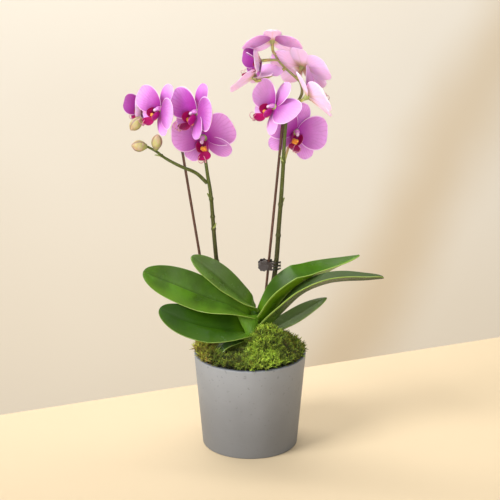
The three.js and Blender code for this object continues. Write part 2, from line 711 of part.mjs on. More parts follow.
for (const [name, bud] of Object.entries(BUDS)) {
  const along = vec(bud.along).normalize();
  const mesh = add(name, budSolid(bud), "bud");
  mesh.position.copy(vec(bud.at));
  mesh.quaternion.setFromUnitVectors(new THREE.Vector3(0, 0, 1), along);
}

for (const [name, flower] of Object.entries(BLOOMS)) {
  const group = new THREE.Group();
  group.position.copy(vec(flower.at));
  group.quaternion.copy(bloomTurn(flower));
  group.scale.setScalar(flower.size);
  add(`${name}_tepals`, tepalsSolid(flower.tilt), "petal", group);
  add(`${name}_lip`, lipSolid(), "lip", group);
  orchid.add(group);
  const [spike, share, reach] = flower.from;
  const out = facing(flower);
  const back = vec(flower.at).addScaledVector(out, -BLOOM_BACK * flower.size - GAP);
  spikes[spike].push(stalkSolid(curves[spike].getPointAt(share), back, out, reach, 1.4));
}
for (const [name, body] of Object.entries(clipSolids())) add(name, body, "clip").position.copy(vec(CLIP.pivot));
for (const [side, pieces] of Object.entries(spikes))
  add(`spike_${side}`, largest(cut(fuse(pieces), [crownSolid(GAP)])), "stem");

export default orchid;
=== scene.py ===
"""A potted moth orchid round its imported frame: its finer pieces, their finishes, the light and the camera."""

import math

import bpy
import numpy as np
from bpy.props import FloatProperty, FloatVectorProperty, IntProperty, PointerProperty
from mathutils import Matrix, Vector


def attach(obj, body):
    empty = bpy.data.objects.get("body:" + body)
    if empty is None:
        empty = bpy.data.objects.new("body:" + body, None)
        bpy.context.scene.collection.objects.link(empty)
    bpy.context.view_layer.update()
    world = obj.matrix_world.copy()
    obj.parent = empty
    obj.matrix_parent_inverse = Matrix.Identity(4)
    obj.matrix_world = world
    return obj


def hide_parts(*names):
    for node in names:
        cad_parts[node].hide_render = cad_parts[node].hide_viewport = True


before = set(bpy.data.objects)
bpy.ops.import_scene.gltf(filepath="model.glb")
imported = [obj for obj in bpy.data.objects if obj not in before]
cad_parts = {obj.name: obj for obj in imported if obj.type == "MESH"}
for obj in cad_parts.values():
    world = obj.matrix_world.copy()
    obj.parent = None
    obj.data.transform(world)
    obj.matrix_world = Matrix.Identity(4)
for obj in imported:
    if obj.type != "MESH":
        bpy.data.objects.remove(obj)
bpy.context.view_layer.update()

bl_info = {
    "name": "Potted Orchid",
    "version": (1, 0, 0),
    "blender": (4, 5, 0),
    "location": "View3D > Sidebar > Orchid",
    "description": "Makes a potted moth orchid piece by piece round its packed frame",
    "category": "Object",
}

# ---------- Sizes and places, in millimetres and degrees unless a name says otherwise ----------

MM = 0.001
BODY = "planter"
JAW_BODY = "clip_jaw"

UP = np.array([0.0, 0.0, 1.0])
BLOOM_FRONT = np.array([0.0, 0.0, 1.0])

# The crown's route, its thickness at its foot and tip, and how far it swells where the leaves clasp it.
CROWN = {"path": [[8, 8, 70], [8, 8, 115], [7, 8, 140], [5, 8, 161]], "base": 9.5, "tip": 4, "sheaths": 4}

# Each leaf's keel, half width, foot share, place of its widest part and bluntness of its tip. Then, at its
# foot, middle and tip, the roll that raises its far edge and the fold that raises both. Then how much painted
# grey sheen and how much painted shade it gets.
LEAVES = {
    "leaf_left_upper": {
        "path": [
            [3, 7, 145], [-5, 2, 156], [-23, -2, 168], [-46, -6, 178], [-69, -9, 189], [-91, -10, 199],
            [-122, -6, 211],
        ],
        "half": 22, "foot": 0.42, "peak": 0.58, "tip": 0.52, "roll": [20, 50, 56], "fold": [34, 10, 8],
        "grey": 0.2, "deep": 0.05,
    },
    "leaf_left_top": {
        "path": [[4, 8, 157], [-3, 3, 168], [-16, 1, 181], [-32, -1, 197], [-48, -1, 212], [-67, 2, 227]],
        "half": 15, "foot": 0.4, "peak": 0.56, "tip": 0.55, "roll": [25, 44, 42], "fold": [40, 24, 14],
        "grey": 0.5, "deep": 0.0,
    },
    "leaf_left_lower": {
        "path": [
            [2, 5, 129], [-8, -4, 136], [-29, -15, 143], [-51, -23, 150], [-74, -28, 159],
            [-103, -30, 174],
        ],
        "half": 21, "foot": 0.55, "peak": 0.56, "tip": 0.5, "roll": [26, 46, 52], "fold": [42, 8, 6],
        "grey": 0.0, "deep": 0.85,
    },
    "leaf_right_upper": {
        "path": [
            [11, 7, 139], [16, 5, 147], [27, 3.8, 159.5], [46, 3.2, 179.3], [67, 5, 193.8],
            [84, 8, 204.2], [126, 12, 225.2],
        ],
        "half": 17.6, "foot": 0.28, "peak": 0.4, "tip": 0.72, "roll": [12, 8, 6], "fold": [52, 52, 8],
        "grey": 0.0, "deep": 0.0,
    },
    "leaf_right_lower": {
        "path": [
            [9, 5, 126], [17.5, -5, 141.5], [35, -14, 165], [60, -19, 191], [87, -21, 203.3],
            [107, -21, 206.3], [130, -19, 206.3], [152.2, -16, 207.2],
        ],
        "half": 13, "foot": 0.35, "peak": 0.5, "tip": 0.5, "roll": [0, 2, -4], "fold": [40, 25, 34],
        "grey": 0.45, "deep": 1.2,
    },
    "leaf_right_small": {
        "path": [[9, 10, 121], [22, 14, 129], [37, 17, 138], [52, 20, 146], [70, 25, 156], [90, 30, 167]],
        "half": 10.5, "foot": 0.4, "peak": 0.5, "tip": 0.7, "roll": [20, 32, 34], "fold": [35, 16, 10],
        "grey": 0.8, "deep": 0.1,
    },
    "leaf_left_stub": {
        "path": [[5, 4, 122], [-8, -8, 130], [-24, -20, 132], [-36, -28, 126], [-41, -32, 112]],
        "half": 9.5, "foot": 0.4, "peak": 0.55, "tip": 0.6, "roll": [0, 0, 0], "fold": [20, -18, -18],
        "grey": 0.0, "deep": 1.0,
    },
}

# The clasping foot of the upper left leaf, from under its near edge down in front of the crown into the moss.
SHEATH = {
    "left": [[-15.5, -8, 159.5], [-10.5, -12, 150], [-5.5, -14.5, 140], [-3, -14, 124]],
    "right": [[8, -3, 158], [9.5, -8, 149], [9.5, -12, 139], [9, -13, 124]],
    "bulge": 3.2,
    "thick": 1.2,
}

# Each spike's route, its thickness at its foot and tip, the places of its rings, and its bracts' places, turns
# and lengths.
SPIKE_LEFT = {
    "path": [
        [5, 10, 126], [-9, 18, 141], [-23, 24, 161], [-32.5, 25, 184.5], [-37.5, 23, 206],
        [-40.7, 16, 242], [-42.6, 10, 273.6], [-44.6, 6, 300.6], [-47.7, 3, 322.5], [-50.3, 2, 342.5],
        [-53.5, 4, 361], [-59, 7, 378], [-69, 11, 393], [-83, 14, 400], [-98, 13, 398.4],
        [-110, 8, 393.4], [-117, 2.5, 390.7],
    ],
    "base": 2.8, "tip": 1.2, "rings": [0.3, 0.47], "bracts": [(0.425, -40, 9), (0.535, 160, 7)],
}
BRANCH_LEFT = {
    "path": [
        [-48.6, 4, 313], [-60.6, 0, 325.6], [-78.3, -5, 335], [-94.6, -8, 345], [-104.5, -11, 353.5],
        [-113.9, -13.5, 359.5],
    ],
    "base": 2.1, "tip": 1.3, "rings": [], "bracts": [(0.76, 200, 7)],
}
SPIKE_RIGHT = {
    "path": [
        [8, 12, 138], [17, 16.5, 150], [25, 21, 179], [30, 17, 213], [33, 11, 261], [35, 6, 292],
        [37, 2, 328], [38.4, 0, 363], [40.5, 2, 385], [45, 7, 397], [53, 14, 404], [58, 18, 413],
        [56.5, 20, 424], [48, 17, 433.5], [38.5, 13, 443], [31, 9, 452], [26.5, 5, 461],
    ],
    "base": 3, "tip": 1.2, "rings": [0.33], "bracts": [(0.44, 30, 8), (0.585, 200, 8)],
}

# Each bud's foot, the direction it points in, its length and its radius.
BUDS = {
    "bud_left_end": {"at": [-120.1, -2.5, 389.4], "along": [-13, -5, -13], "length": 18, "radius": 6.6},
    "bud_left_upper": {
        "at": [-104.4, -12.2, 355.5], "along": [2.5, -2.5, 18], "length": 18, "radius": 6.4,
    },
    "bud_left_lower": {"at": [-114.3, -13.6, 359.6], "along": [-16, -4, 2], "length": 17, "radius": 6.7},
}

# What most blooms share: how far each tepal is twisted, how much it shows the colour of backs behind, how
# pale the bloom is and its lip's share of its size.
USUAL_BLOOM = {"twist": [0] * 5, "back": [1] * 5, "pale": 0.0, "lip": 1}

# Each bloom's hub, where it faces with its pitch and roll, its size, how far each tepal leans forward, how
# much painted shade darkens it, and its spike with the place and lead of its stalk. Tepals stand in the
# order: dorsal sepal, right petal, right sepal, left sepal, left petal.
BLOOMS = {
    "left_1": {
        "at": [-97.5, -17, 403], "turn": [-50, 4, 22], "size": 0.9, "lean": [-6, 14, 8, 8, 28],
        "dark": 0.12, "pale": 0.08, "from": ("left", 0.89, 8),
    },
    "left_2": {
        "at": [-57.5, -24, 400.6], "turn": [-51, 6, 11], "size": 0.98, "lean": [-4, 11, 20, 12, 26],
        "dark": 0.36, "from": ("left", 0.78, 21),
    },
    "left_3": {
        "at": [-51.4, -7, 368.5], "turn": [-13, -13, -12], "size": 1.05, "lean": [-8, -6, -1, -1, 0],
        "dark": 0.4, "pale": 0.12, "lip": 0.95, "from": ("left", 0.69, 8),
    },
    "left_4": {
        "at": [-119.4, 19, 395.6], "turn": [-59, 7, 3], "size": 0.67, "lean": [15, 50, 15, 15, 46],
        "dark": 1.0, "lip": 0.9, "from": ("left", 0.95, 8),
    },
    "right_1": {
        "at": [24.3, -3, 475.5], "turn": [180, 56, 0], "size": 0.95, "lean": [-1, -16, -3, -3, -15],
        "back": [1, 0.12, 1, 1, 0.12], "dark": 0.1, "pale": 0.2, "lip": 0.6, "from": ("right", 0.995, 8),
    },
    "right_2": {
        "at": [12.5, -10, 455], "turn": [-60, 0, 0], "size": 0.63, "lean": [62, 50, 30, 30, 42],
        "dark": 1.0, "lip": 0.9, "from": ("right", 0.97, 8),
    },
    "right_3": {
        "at": [4.5, -1, 434.6], "turn": [-130, 48, 15], "size": 0.91, "lean": [-25, -2, 5, 5, -7],
        "twist": [0, 0, 0, 0, -48], "back": [1, 1, 1, 1, 0.9], "dark": 0.1, "pale": 0.5, "lip": 0.7,
        "from": ("right", 0.93, 3),
    },
    "right_4": {
        "at": [57.7, 20, 441.6], "turn": [155, 35, -5], "size": 1.02, "lean": [-3, -7, -2, -2, -9],
        "back": [1, 0.75, 1, 1, 0.9], "dark": 0.1, "pale": 0.5, "lip": 0.7, "from": ("right", 0.88, 8),
    },
    "right_5": {
        "at": [62.6, -10, 414.6], "turn": [105, 30, -17], "size": 1.03, "lean": [6, 36, 20, 20, 21],
        "back": [1, 0.95, 1, 1, 0.9], "dark": 0.1, "pale": 0.5, "lip": 0.82, "from": ("right", 0.8, 8),
    },
    "right_6": {
        "at": [27.6, -14, 404.5], "turn": [-57, 14, 23], "size": 0.95, "lean": [-6, -10, 10, 10, 22],
        "twist": [0, 42, 0, 0, 0], "dark": 0.3, "pale": 0.32, "from": ("right", 0.74, 8),
    },
    "right_7": {
        "at": [51.5, 17, 368.6], "turn": [13, 4, 20], "size": 1.02, "lean": [-7, 6, 0, 2, 8],
        "dark": 0.3, "pale": 0.15, "lip": 0.95, "from": ("right", 0.575, 8),
    },
}

# A bloom in its own millimetres: how far its back stands behind its hub, the outlines of a sepal and a petal,
# one side's tendril and callus hump, and every tepal's turn in degrees from the top.
BLOOM_BACK = 5
SEPAL = {"length": 33, "half": 10.5, "rise": 0.72, "fall": 0.5, "level": 0.0, "broad": 0.0}
PETAL = {"length": 35, "half": 19.5, "rise": 0.6, "fall": 0.4, "level": 1.1, "broad": 1.0}
TENDRIL = np.array([[0, -20, 17], [2, -21, 21.5], [4, -18.4, 25], [4, -14, 25.4], [2.4, -12.4, 22.8]])
HUMP = np.array([[1.2, -12.6, 5.6], [1.9, -10.4, 8.6], [1.6, -7.6, 10.6]])
TEPALS = [(SEPAL, 0), (PETAL, 74), (SEPAL, 134), (SEPAL, -134), (PETAL, -74)]

# Each stick's upper and lower end and its radius.
STAKES = {
    "stake_left": {"top": [-76.1, 3, 352], "foot": [-33, 30, 52], "radius": 1.5},
    "stake_right": {"top": [36.6, 4.5, 384], "foot": [7.3, 30, 52], "radius": 1.5},
}

# The camera's place in metres, its tilt downwards, and its lens and sensor in millimetres.
CAMERA = {"at": (0, -1.7377, 0.7862), "pitch": 17.6, "lens": 115.2, "sensor": 36}

# The corners of the table's top, whose back edge runs aslant, and of the backdrop, in metres.
TABLE = [(-3, -3, 0), (3, -3, 0), (3, 1.438, 0), (-3, -1.042, 0)]
BACKDROP = [(-5, 2.2, -3), (5, 2.2, -3), (5, 2.2, 4), (-5, 2.2, 4)]

# Each light's place and aim, its width and height, its share of the key's power, its colour and its spread.
LIGHTS = {
    "key": [(-2.3, -1.55, 2.6), (0, 0, 0.25), (1.4, 1.4), 1, (1, 0.985, 0.965), 180],
    "fill": [(0.5, -2.6, 0.9), (0, 0, 0.25), (1.4, 1.4), 0.15, (1, 0.97, 0.94), 180],
    "bloom_fill": [(0.1, -1.5, 0.1), (0, 0, 0.48), (0.3, 0.3), 0.0027, (1, 0.97, 1), 30],
    "backdrop_wash": [(-0.3, 0.6, 1.3), (0.1, 2.2, -0.8), (2.5, 0.8), 0.25, (1, 0.97, 0.93), 180],
}

# ---------- Curves and meshes ----------


def unit(v):
    """Vectors of length 1."""
    return v / np.linalg.norm(v, axis=-1, keepdims=True)


def turned(v, axis, degrees):
    """The vector v turned about a unit axis."""
    c, s = math.cos(math.radians(degrees)), math.sin(math.radians(degrees))
    return v * c + np.cross(axis, v) * s + axis * np.dot(axis, v) * (1 - c)


class Route:
    """A smooth curve through points given in millimetres, measured by shares of its length, in metres."""

    def __init__(self, points, fine=24):
        p = np.asarray(points, float) * MM
        ends = np.vstack([2 * p[0] - p[1], p, 2 * p[-1] - p[-2]])
        t = np.linspace(0, 1, fine + 1)[1:, None]
        track = [p[:1]]
        for a, b, c, d in zip(ends, ends[1:], ends[2:], ends[3:]):
            near, mid, far = (np.linalg.norm(y - x) ** 0.5 for x, y in ((a, b), (b, c), (c, d)))
            leave = ((b - a) / near - (c - a) / (near + mid) + (c - b) / mid) * mid
            reach = ((c - b) / mid - (d - b) / (mid + far) + (d - c) / far) * mid
            track.append(
                b * (2 * t**3 - 3 * t**2 + 1) + leave * (t**3 - 2 * t**2 + t)
                + c * (3 * t**2 - 2 * t**3) + reach * (t**3 - t**2)
            )
        self.track = np.vstack(track)
        steps = np.linalg.norm(np.diff(self.track, axis=0), axis=1)
        self.length = steps.sum()
        self.shares = np.concatenate([[0], np.cumsum(steps)]) / self.length

    def at(self, u):
        """The points at some shares of the length."""
        return np.stack([np.interp(u, self.shares, self.track[:, k]) for k in range(3)], axis=-1)

    def along(self, u, step=4e-3):
        """The directions at some shares of the length."""
        u = np.asarray(u, float)
        return unit(self.at(np.minimum(u + step, 1)) - self.at(np.maximum(u - step, 0)))


class Shape:
    """Gathers closed bodies into one mesh, with a UV map and a mark of what is an under side on its faces."""

    def __init__(self):
        self.points = []
        self.faces = []
        self.corners = []
        self.marks = []
        self.slots = []
        self.count = 0

    def add(self, points, index, uv, mark=0.0, slot=0):
        """Adds one closed body from grids of vertex numbers, turned so that its faces point outwards."""
        faces, corners, marks = [], [], []
        for grid, chart, side in zip(index, uv, np.broadcast_to(mark, len(index))):
            quads, maps = (
                np.stack([values[:-1, :-1], values[:-1, 1:], values[1:, 1:], values[1:, :-1]], 2)
                for values in (grid, chart)
            )
            quads, maps = quads.reshape(-1, 4), maps.reshape(-1, 4, 2)
            for quad, places in zip(quads.tolist(), maps.tolist()):
                keep = [k for k in range(4) if quad[k] != quad[k - 1]]
                if len(keep) > 2:
                    faces.append([quad[k] for k in keep])
                    corners.append([places[k] for k in keep])
                    marks.append(float(side))
        if self.volume(points, faces) < 0:
            faces = [face[::-1] for face in faces]
            corners = [places[::-1] for places in corners]
        used = sorted({k for face in faces for k in face})
        number = {old: self.count + new for new, old in enumerate(used)}
        self.points.append(points[used])
        self.faces += [[number[k] for k in face] for face in faces]
        self.corners += corners
        self.marks += marks
        self.slots += [slot] * len(faces)
        self.count += len(used)

    @staticmethod
    def volume(points, faces):
        """Six times the space inside; it is negative when the faces point inwards."""
        fans = np.array([(f[0], f[k], f[k + 1]) for f in faces for k in range(1, len(f) - 1)])
        a, b, c = points[fans[:, 0]], points[fans[:, 1]], points[fans[:, 2]]
        return float(np.einsum("ij,ij->i", a, np.cross(b, c)).sum())

    def sheet(self, centre, normal, thick, across, lengthwise, poles=(True, True), slot=0, under_mark=1.0):
        """A closed sheet about a grid of points, whose two faces meet along the rim."""
        rows, cols = across.shape
        rim = np.zeros((rows, cols), bool)
        rim[[0, -1]] = True
        rim[:, [0, -1]] = True
        half = normal * (np.where(rim, 0, thick) / 2)[..., None]
        points = np.concatenate([(centre + half).reshape(-1, 3), (centre - half).reshape(-1, 3)])
        over = np.arange(rows * cols).reshape(rows, cols)
        under = np.where(rim, over, over + rows * cols)
        for row, pole in zip((0, -1), poles):
            if pole:
                over[row] = under[row] = over[row, 0]
        chart = np.stack([across, lengthwise], -1)
        self.add(points, [over, under], [chart, chart], (0, under_mark), slot)

    def tube(self, points, radii, sides, slot=0, shape=None, cap=0.3):
        """A round stem through points in metres, closed by ends that stand out by a share of the radius."""
        points, radii = np.asarray(points, float), np.asarray(radii, float)
        along = unit(np.gradient(points, axis=0))
        side = [unit(np.cross(along[0], UP if abs(along[0][2]) < 0.9 else np.array([1.0, 0, 0])))]
        for step in along[1:]:
            side.append(unit(side[-1] - step * np.dot(side[-1], step)))
        side = np.array(side)
        other = np.cross(along, side)
        turn = np.linspace(0, 2 * np.pi, sides + 1)[:-1]
        swell = np.ones(sides) if shape is None else shape(turn)
        reach = radii[:, None] * swell
        rings = (
            points[:, None]
            + side[:, None] * (np.cos(turn) * reach)[..., None]
            + other[:, None] * (np.sin(turn) * reach)[..., None]
        )
        ends = np.stack([points[0] - along[0] * radii[0] * cap, points[-1] + along[-1] * radii[-1] * cap])
        count = len(points)
        grid = np.arange(count * sides).reshape(count, sides)
        grid = np.concatenate([grid, grid[:, :1]], axis=1)
        caps = [np.full((1, sides + 1), count * sides), np.full((1, sides + 1), count * sides + 1)]
        grid = np.concatenate([caps[0], grid, caps[1]])
        share = np.concatenate([[0], np.linspace(0, 1, count), [1]])
        chart = np.stack(np.meshgrid(share, np.linspace(0, 1, sides + 1), indexing="ij")[::-1], -1)
        self.add(np.concatenate([rings.reshape(-1, 3), ends]), [grid], [chart], 0.0, slot)

    def rounds(self, points):
        """A closed body through rows of points that each go once round, from one end to the other."""
        rows, sides = points.shape[:2]
        grid = np.arange(rows * sides).reshape(rows, sides)
        grid = np.concatenate([grid, grid[:, :1]], axis=1)
        grid[0], grid[-1] = grid[0, 0], grid[-1, 0]
        chart = np.stack(np.meshgrid(*(np.linspace(0, 1, count) for count in grid.shape), indexing="ij"), -1)
        self.add(points.reshape(-1, 3), [grid], [chart])

    def lathe(self, profile, sides=128):
        """A body turned about Z from (radius, height) pairs in metres that start and end on the axis."""
        radii, heights = np.asarray(profile, float).T[..., None, None]
        turn = np.linspace(0, 2 * np.pi, sides + 1)[:-1]
        ring = np.stack([np.cos(turn), np.sin(turn), np.zeros(sides)], -1)
        self.rounds(radii * ring + heights * UP)

    def mesh(self, name, smooth=True, **values):
        """The gathered bodies as a mesh, with values of its own kept on every face."""
        mesh = bpy.data.meshes.new(name)
        mesh.from_pydata(np.concatenate(self.points).tolist(), [], self.faces)
        layer = mesh.uv_layers.new(name="UVMap")
        layer.data.foreach_set("uv", np.array([p for places in self.corners for p in places]).ravel())
        mark = mesh.attributes.new("under", "FLOAT", "FACE")
        mark.data.foreach_set("value", np.array(self.marks, np.float32))
        for label, value in values.items():
            layer = mesh.attributes.new(label, "FLOAT", "FACE")
            layer.data.foreach_set("value", np.full(len(self.faces), value, np.float32))
        mesh.polygons.foreach_set("material_index", np.array(self.slots, np.int32))
        mesh.polygons.foreach_set("use_smooth", np.full(len(self.faces), smooth))
        mesh.update()
        return mesh


def eased(count):
    """Places from -1 to 1 that crowd towards both ends."""
    return np.sin(np.linspace(-1, 1, count + 1) * np.pi / 2)


def ribbon(spine, side, reach, normal, lift):
    """A grid of points about a spine, set off sideways by a reach and along the normal by a lift."""
    side, normal = (np.broadcast_to(way, spine.shape)[:, None] for way in (side, normal))
    return spine[:, None] + side * reach[..., None] + normal * lift[..., None]


def petal_half(u, half, rise, fall):
    """The half width along a petal or lobe that widens by one power and narrows by another."""
    peak = rise / (rise + fall)
    return half * u**rise * np.maximum(0, 1 - u) ** fall / (peak**rise * (1 - peak) ** fall)


def linked(name, data):
    """A new object in the scene."""
    obj = bpy.data.objects.new(name, data)
    bpy.context.scene.collection.objects.link(obj)
    return obj


def piece(name, mesh, finishes, body, node):
    """Puts a finished mesh in the scene as a piece that rides on a body and stands for a node."""
    obj = linked(name, mesh)
    for label in finishes:
        mesh.materials.append(finish(label))
    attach(obj, body)
    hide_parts(node)


# ---------- Shader building ----------


def new_node(tree, kind, values=None, **options):
    """A node with its options set and its inputs set or linked by name or number."""
    made = tree.nodes.new(kind)
    for key, value in options.items():
        setattr(made, key, value)
    for key, value in (values or {}).items():
        if isinstance(value, bpy.types.NodeSocket):
            tree.links.new(value, made.inputs[key])
        else:
            made.inputs[key].default_value = value
    return made


def home(*values):
    """The node tree of the first socket among some values."""
    return next(value.id_data for value in values if isinstance(value, bpy.types.NodeSocket))


def maths(operation, a, b=0.0, c=0.5, clamp=False):
    """A sum on two or three values."""
    values = {0: a, 1: b, 2: c}
    return new_node(home(a, b), "ShaderNodeMath", values, operation=operation, use_clamp=clamp).outputs[0]


def plus(a, b, clamp=False):
    """The sum of two values, kept between 0 and 1 if asked."""
    return maths("ADD", a, b, clamp=clamp)


def times(a, b, clamp=False):
    """The product of two values, kept between 0 and 1 if asked."""
    return maths("MULTIPLY", a, b, clamp=clamp)


def vector(operation, a, b=None, scale=None):
    """The outputs of a sum on vectors."""
    values = {key: value for key, value in ((0, a), (1, b), ("Scale", scale)) if value is not None}
    return new_node(home(a), "ShaderNodeVectorMath", values, operation=operation).outputs


def axis(place, number):
    """One part of a vector: 0 for X, 1 for Y and 2 for Z."""
    return new_node(home(place), "ShaderNodeSeparateXYZ", {0: place}).outputs[number]


def blend(share, a, b, kind="MIX"):
    """A colour between a and b."""
    a, b = (c if isinstance(c, bpy.types.NodeSocket) else (*c[:3], 1) for c in (a, b))
    values = {0: share, 6: a, 7: b}
    return new_node(home(share, a, b), "ShaderNodeMix", values, data_type="RGBA", blend_type=kind).outputs[2]


def layered(colour, *coats):
    """A colour with coats laid over it in turn, each given as its mask, a share of it and a colour."""
    for mask, share, over in coats:
        colour = blend(times(mask, share), colour, over)
    return colour


def shade(colour, share):
    """A plain colour made darker or lighter."""
    return [min(1, part * share) for part in colour]


def ramp(share, stops):
    """A colour ramp from (place, colour) stops."""
    made = new_node(home(share), "ShaderNodeValToRGB", {0: share})
    elements = made.color_ramp.elements
    while len(elements) < len(stops):
        elements.new(0.5)
    for element, (place, colour) in zip(elements, stops):
        element.position = place
        element.color = (*colour, 1)
    return made.outputs[0]


def smooth_step(value, low, high):
    """0 at low and 1 at high, with a smooth change between."""
    values = {0: value, 1: low, 2: high, 3: 0.0, 4: 1.0}
    return new_node(home(value), "ShaderNodeMapRange", values, interpolation_type="SMOOTHSTEP").outputs[0]


def noise(place, scale, detail=3.0, rough=0.5):
    """Soft noise from 0 to 1."""
    values = {"Vector": place, "Scale": scale, "Detail": detail, "Roughness": rough}
    return new_node(home(place), "ShaderNodeTexNoise", values).outputs[0]


def wander(place, scale, reach, detail=3.0):
    """A value that drifts about zero."""
    return times(maths("SUBTRACT", noise(place, scale, detail), 0.5), reach)


def scaled(place, scale):
    """A place stretched or squeezed along each axis."""
    return new_node(home(place), "ShaderNodeMapping", {0: place, 3: scale}).outputs[0]


def new_group(name, kind, inputs, outputs):
    """An empty node group; gives its tree, what comes in and the inputs of its output node."""
    tree = bpy.data.node_groups.new(name, kind)
    for label, what, default in inputs:
        socket = tree.interface.new_socket(label, in_out="INPUT", socket_type="NodeSocket" + what)
        if default is not None:
            socket.default_value = default
    for label, what in outputs:
        tree.interface.new_socket(label, in_out="OUTPUT", socket_type="NodeSocket" + what)
    return tree, tree.nodes.new("NodeGroupInput").outputs, tree.nodes.new("NodeGroupOutput").inputs


def grain_group():
    """Fine grain for any surface: a height, and a roughness and a tone that wander with it."""
    name = "Surface Grain"
    if name in bpy.data.node_groups:
        return bpy.data.node_groups[name]
    tree, given, out = new_group(
        name, "ShaderNodeTree",
        [("Vector", "Vector", None), ("Scale", "Float", 300.0), ("Roughness", "Float", 0.5),
         ("Spread", "Float", 0.15)],
        [("Height", "Float"), ("Roughness", "Float"), ("Tone", "Float")],
    )
    drift = wander(given["Vector"], times(given["Scale"], 0.12), given["Spread"])
    tree.links.new(noise(given["Vector"], given["Scale"], 4.0, 0.6), out["Height"])
    tree.links.new(plus(given["Roughness"], drift, clamp=True), out["Roughness"])
    tree.links.new(plus(0.5, times(drift, 2.0)), out["Tone"])
    return tree


def vein_group():
    """Fine lines that run along a leaf or petal, fan out and wander a little."""
    name = "Veins"
    if name in bpy.data.node_groups:
        return bpy.data.node_groups[name]
    tree, given, out = new_group(
        name, "ShaderNodeTree",
        [("Vector", "Vector", None), ("Count", "Float", 20.0), ("Wander", "Float", 0.6),
         ("Fan", "Float", 0.0), ("Sharpness", "Float", 3.0)],
        [("Line", "Float"), ("Across", "Float"), ("Along", "Float")],
    )
    along = axis(given["Vector"], 1)
    across = maths("SUBTRACT", axis(given["Vector"], 0), 0.5)
    left = maths("MAXIMUM", maths("SUBTRACT", 1.0, along), 0.02)
    fan = maths("POWER", maths("DIVIDE", left, maths("MAXIMUM", along, 0.03)), given["Fan"])
    wave = plus(times(times(across, given["Count"]), fan), wander(given["Vector"], 7.0, given["Wander"]))
    line = maths("POWER", times(maths("PINGPONG", wave, 0.5), 2.0), given["Sharpness"])
    tree.links.new(line, out["Line"])
    tree.links.new(maths("ABSOLUTE", times(across, 2.0)), out["Across"])
    tree.links.new(along, out["Along"])
    return tree


def grained(place, scale, rough, spread):
    """The outputs of the surface grain."""
    values = {"Vector": place, "Scale": scale, "Roughness": rough, "Spread": spread}
    return new_node(home(place), "ShaderNodeGroup", values, node_tree=grain_group()).outputs


def veined(place, count, drift, fan=0.0, sharp=3.0):
    """The outputs of the veins."""
    values = {"Vector": place, "Count": count, "Wander": drift, "Fan": fan, "Sharpness": sharp}
    return new_node(home(place), "ShaderNodeGroup", values, node_tree=vein_group()).outputs


class Look:
    """A new finish, with its shader's inputs and the UV map and Object coordinates that its patterns read."""

    def __init__(self, name):
        material = bpy.data.materials.new(name)
        material.use_nodes = True
        self.tree = material.node_tree
        self.shader = self.tree.nodes["Principled BSDF"].inputs
        coords = self.tree.nodes.new("ShaderNodeTexCoord").outputs
        self.uv, self.place = coords["UV"], coords["Object"]

    def plain(self, **values):
        """Sets what is the same all over."""
        for key, value in values.items():
            self.shader[key.replace("_", " ")].default_value = value

    def own(self, name):
        """A value kept on the piece's own faces or points."""
        return new_node(self.tree, "ShaderNodeAttribute", attribute_name=name).outputs["Fac"]

    def feed(self, colour, roughness, height, depth, strength):
        """Links what changes over the surface; the height goes through a bump of that depth in metres."""
        self.tree.links.new(colour, self.shader["Base Color"])
        if roughness is not None:
            self.tree.links.new(roughness, self.shader["Roughness"])
        values = {"Strength": strength, "Distance": depth, "Height": height}
        self.tree.links.new(new_node(self.tree, "ShaderNodeBump", values).outputs[0], self.shader["Normal"])


# ---------- Finishes: scales are repeats in a metre, heights and depths are in metres ----------


def pot_look(look):
    """Matt grey glazed surface, paler above with painted light and darker towards its foot with painted shade,
    with a dark rim and fine dark pits.
    """
    look.plain(Specular_IOR_Level=0.45)
    tint = bpy.context.scene.orchid_looks.pot_colour
    top = POT["height"] * MM
    height = axis(look.place, 2)
    grain = grained(look.place, 420.0, 0.5, 0.25)
    pits = noise(look.place, 240.0, 2.0)
    # Painted light and shade: the colour is raised towards the top and lowered towards the foot, as light from
    # above falls.
    painted_top_light = smooth_step(plus(height, times(noise(look.place, 18.0), 0.05)), 0.045, 0.14)
    colour = blend(grain["Tone"], shade(tint, 0.86), shade(tint, 1.1))
    colour = blend(1.0, colour, blend(painted_top_light, (0.8, 0.8, 0.8), (1.26, 1.28, 1.3)), "MULTIPLY")
    colour = layered(
        colour,
        (smooth_step(height, top - 0.0012, top - 0.0002), 0.75, (0.07, 0.08, 0.1)),
        (smooth_step(pits, 0.35, 0.3), 0.5, shade(tint, 0.7)),
    )
    relief = plus(times(smooth_step(pits, 0.37, 0.31), -1.0), grain["Height"])
    look.feed(colour, grain["Roughness"], relief, 0.00015, 0.2)


def bark_look(look):
    """Rough brown chips, each of its own tone."""
    cells = new_node(look.tree, "ShaderNodeTexVoronoi", {"Vector": look.place, "Scale": 90.0}).outputs
    tone = new_node(look.tree, "ShaderNodeSeparateColor", {0: cells["Color"]}).outputs[0]
    grain = grained(look.place, 600.0, 0.85, 0.1)
    colour = ramp(tone, [(0, (0.05, 0.025, 0.012)), (0.6, (0.14, 0.07, 0.035)), (1, (0.24, 0.14, 0.07))])
    look.feed(colour, grain["Roughness"], plus(times(cells["Distance"], -2.0), grain["Height"]), 0.001, 0.8)


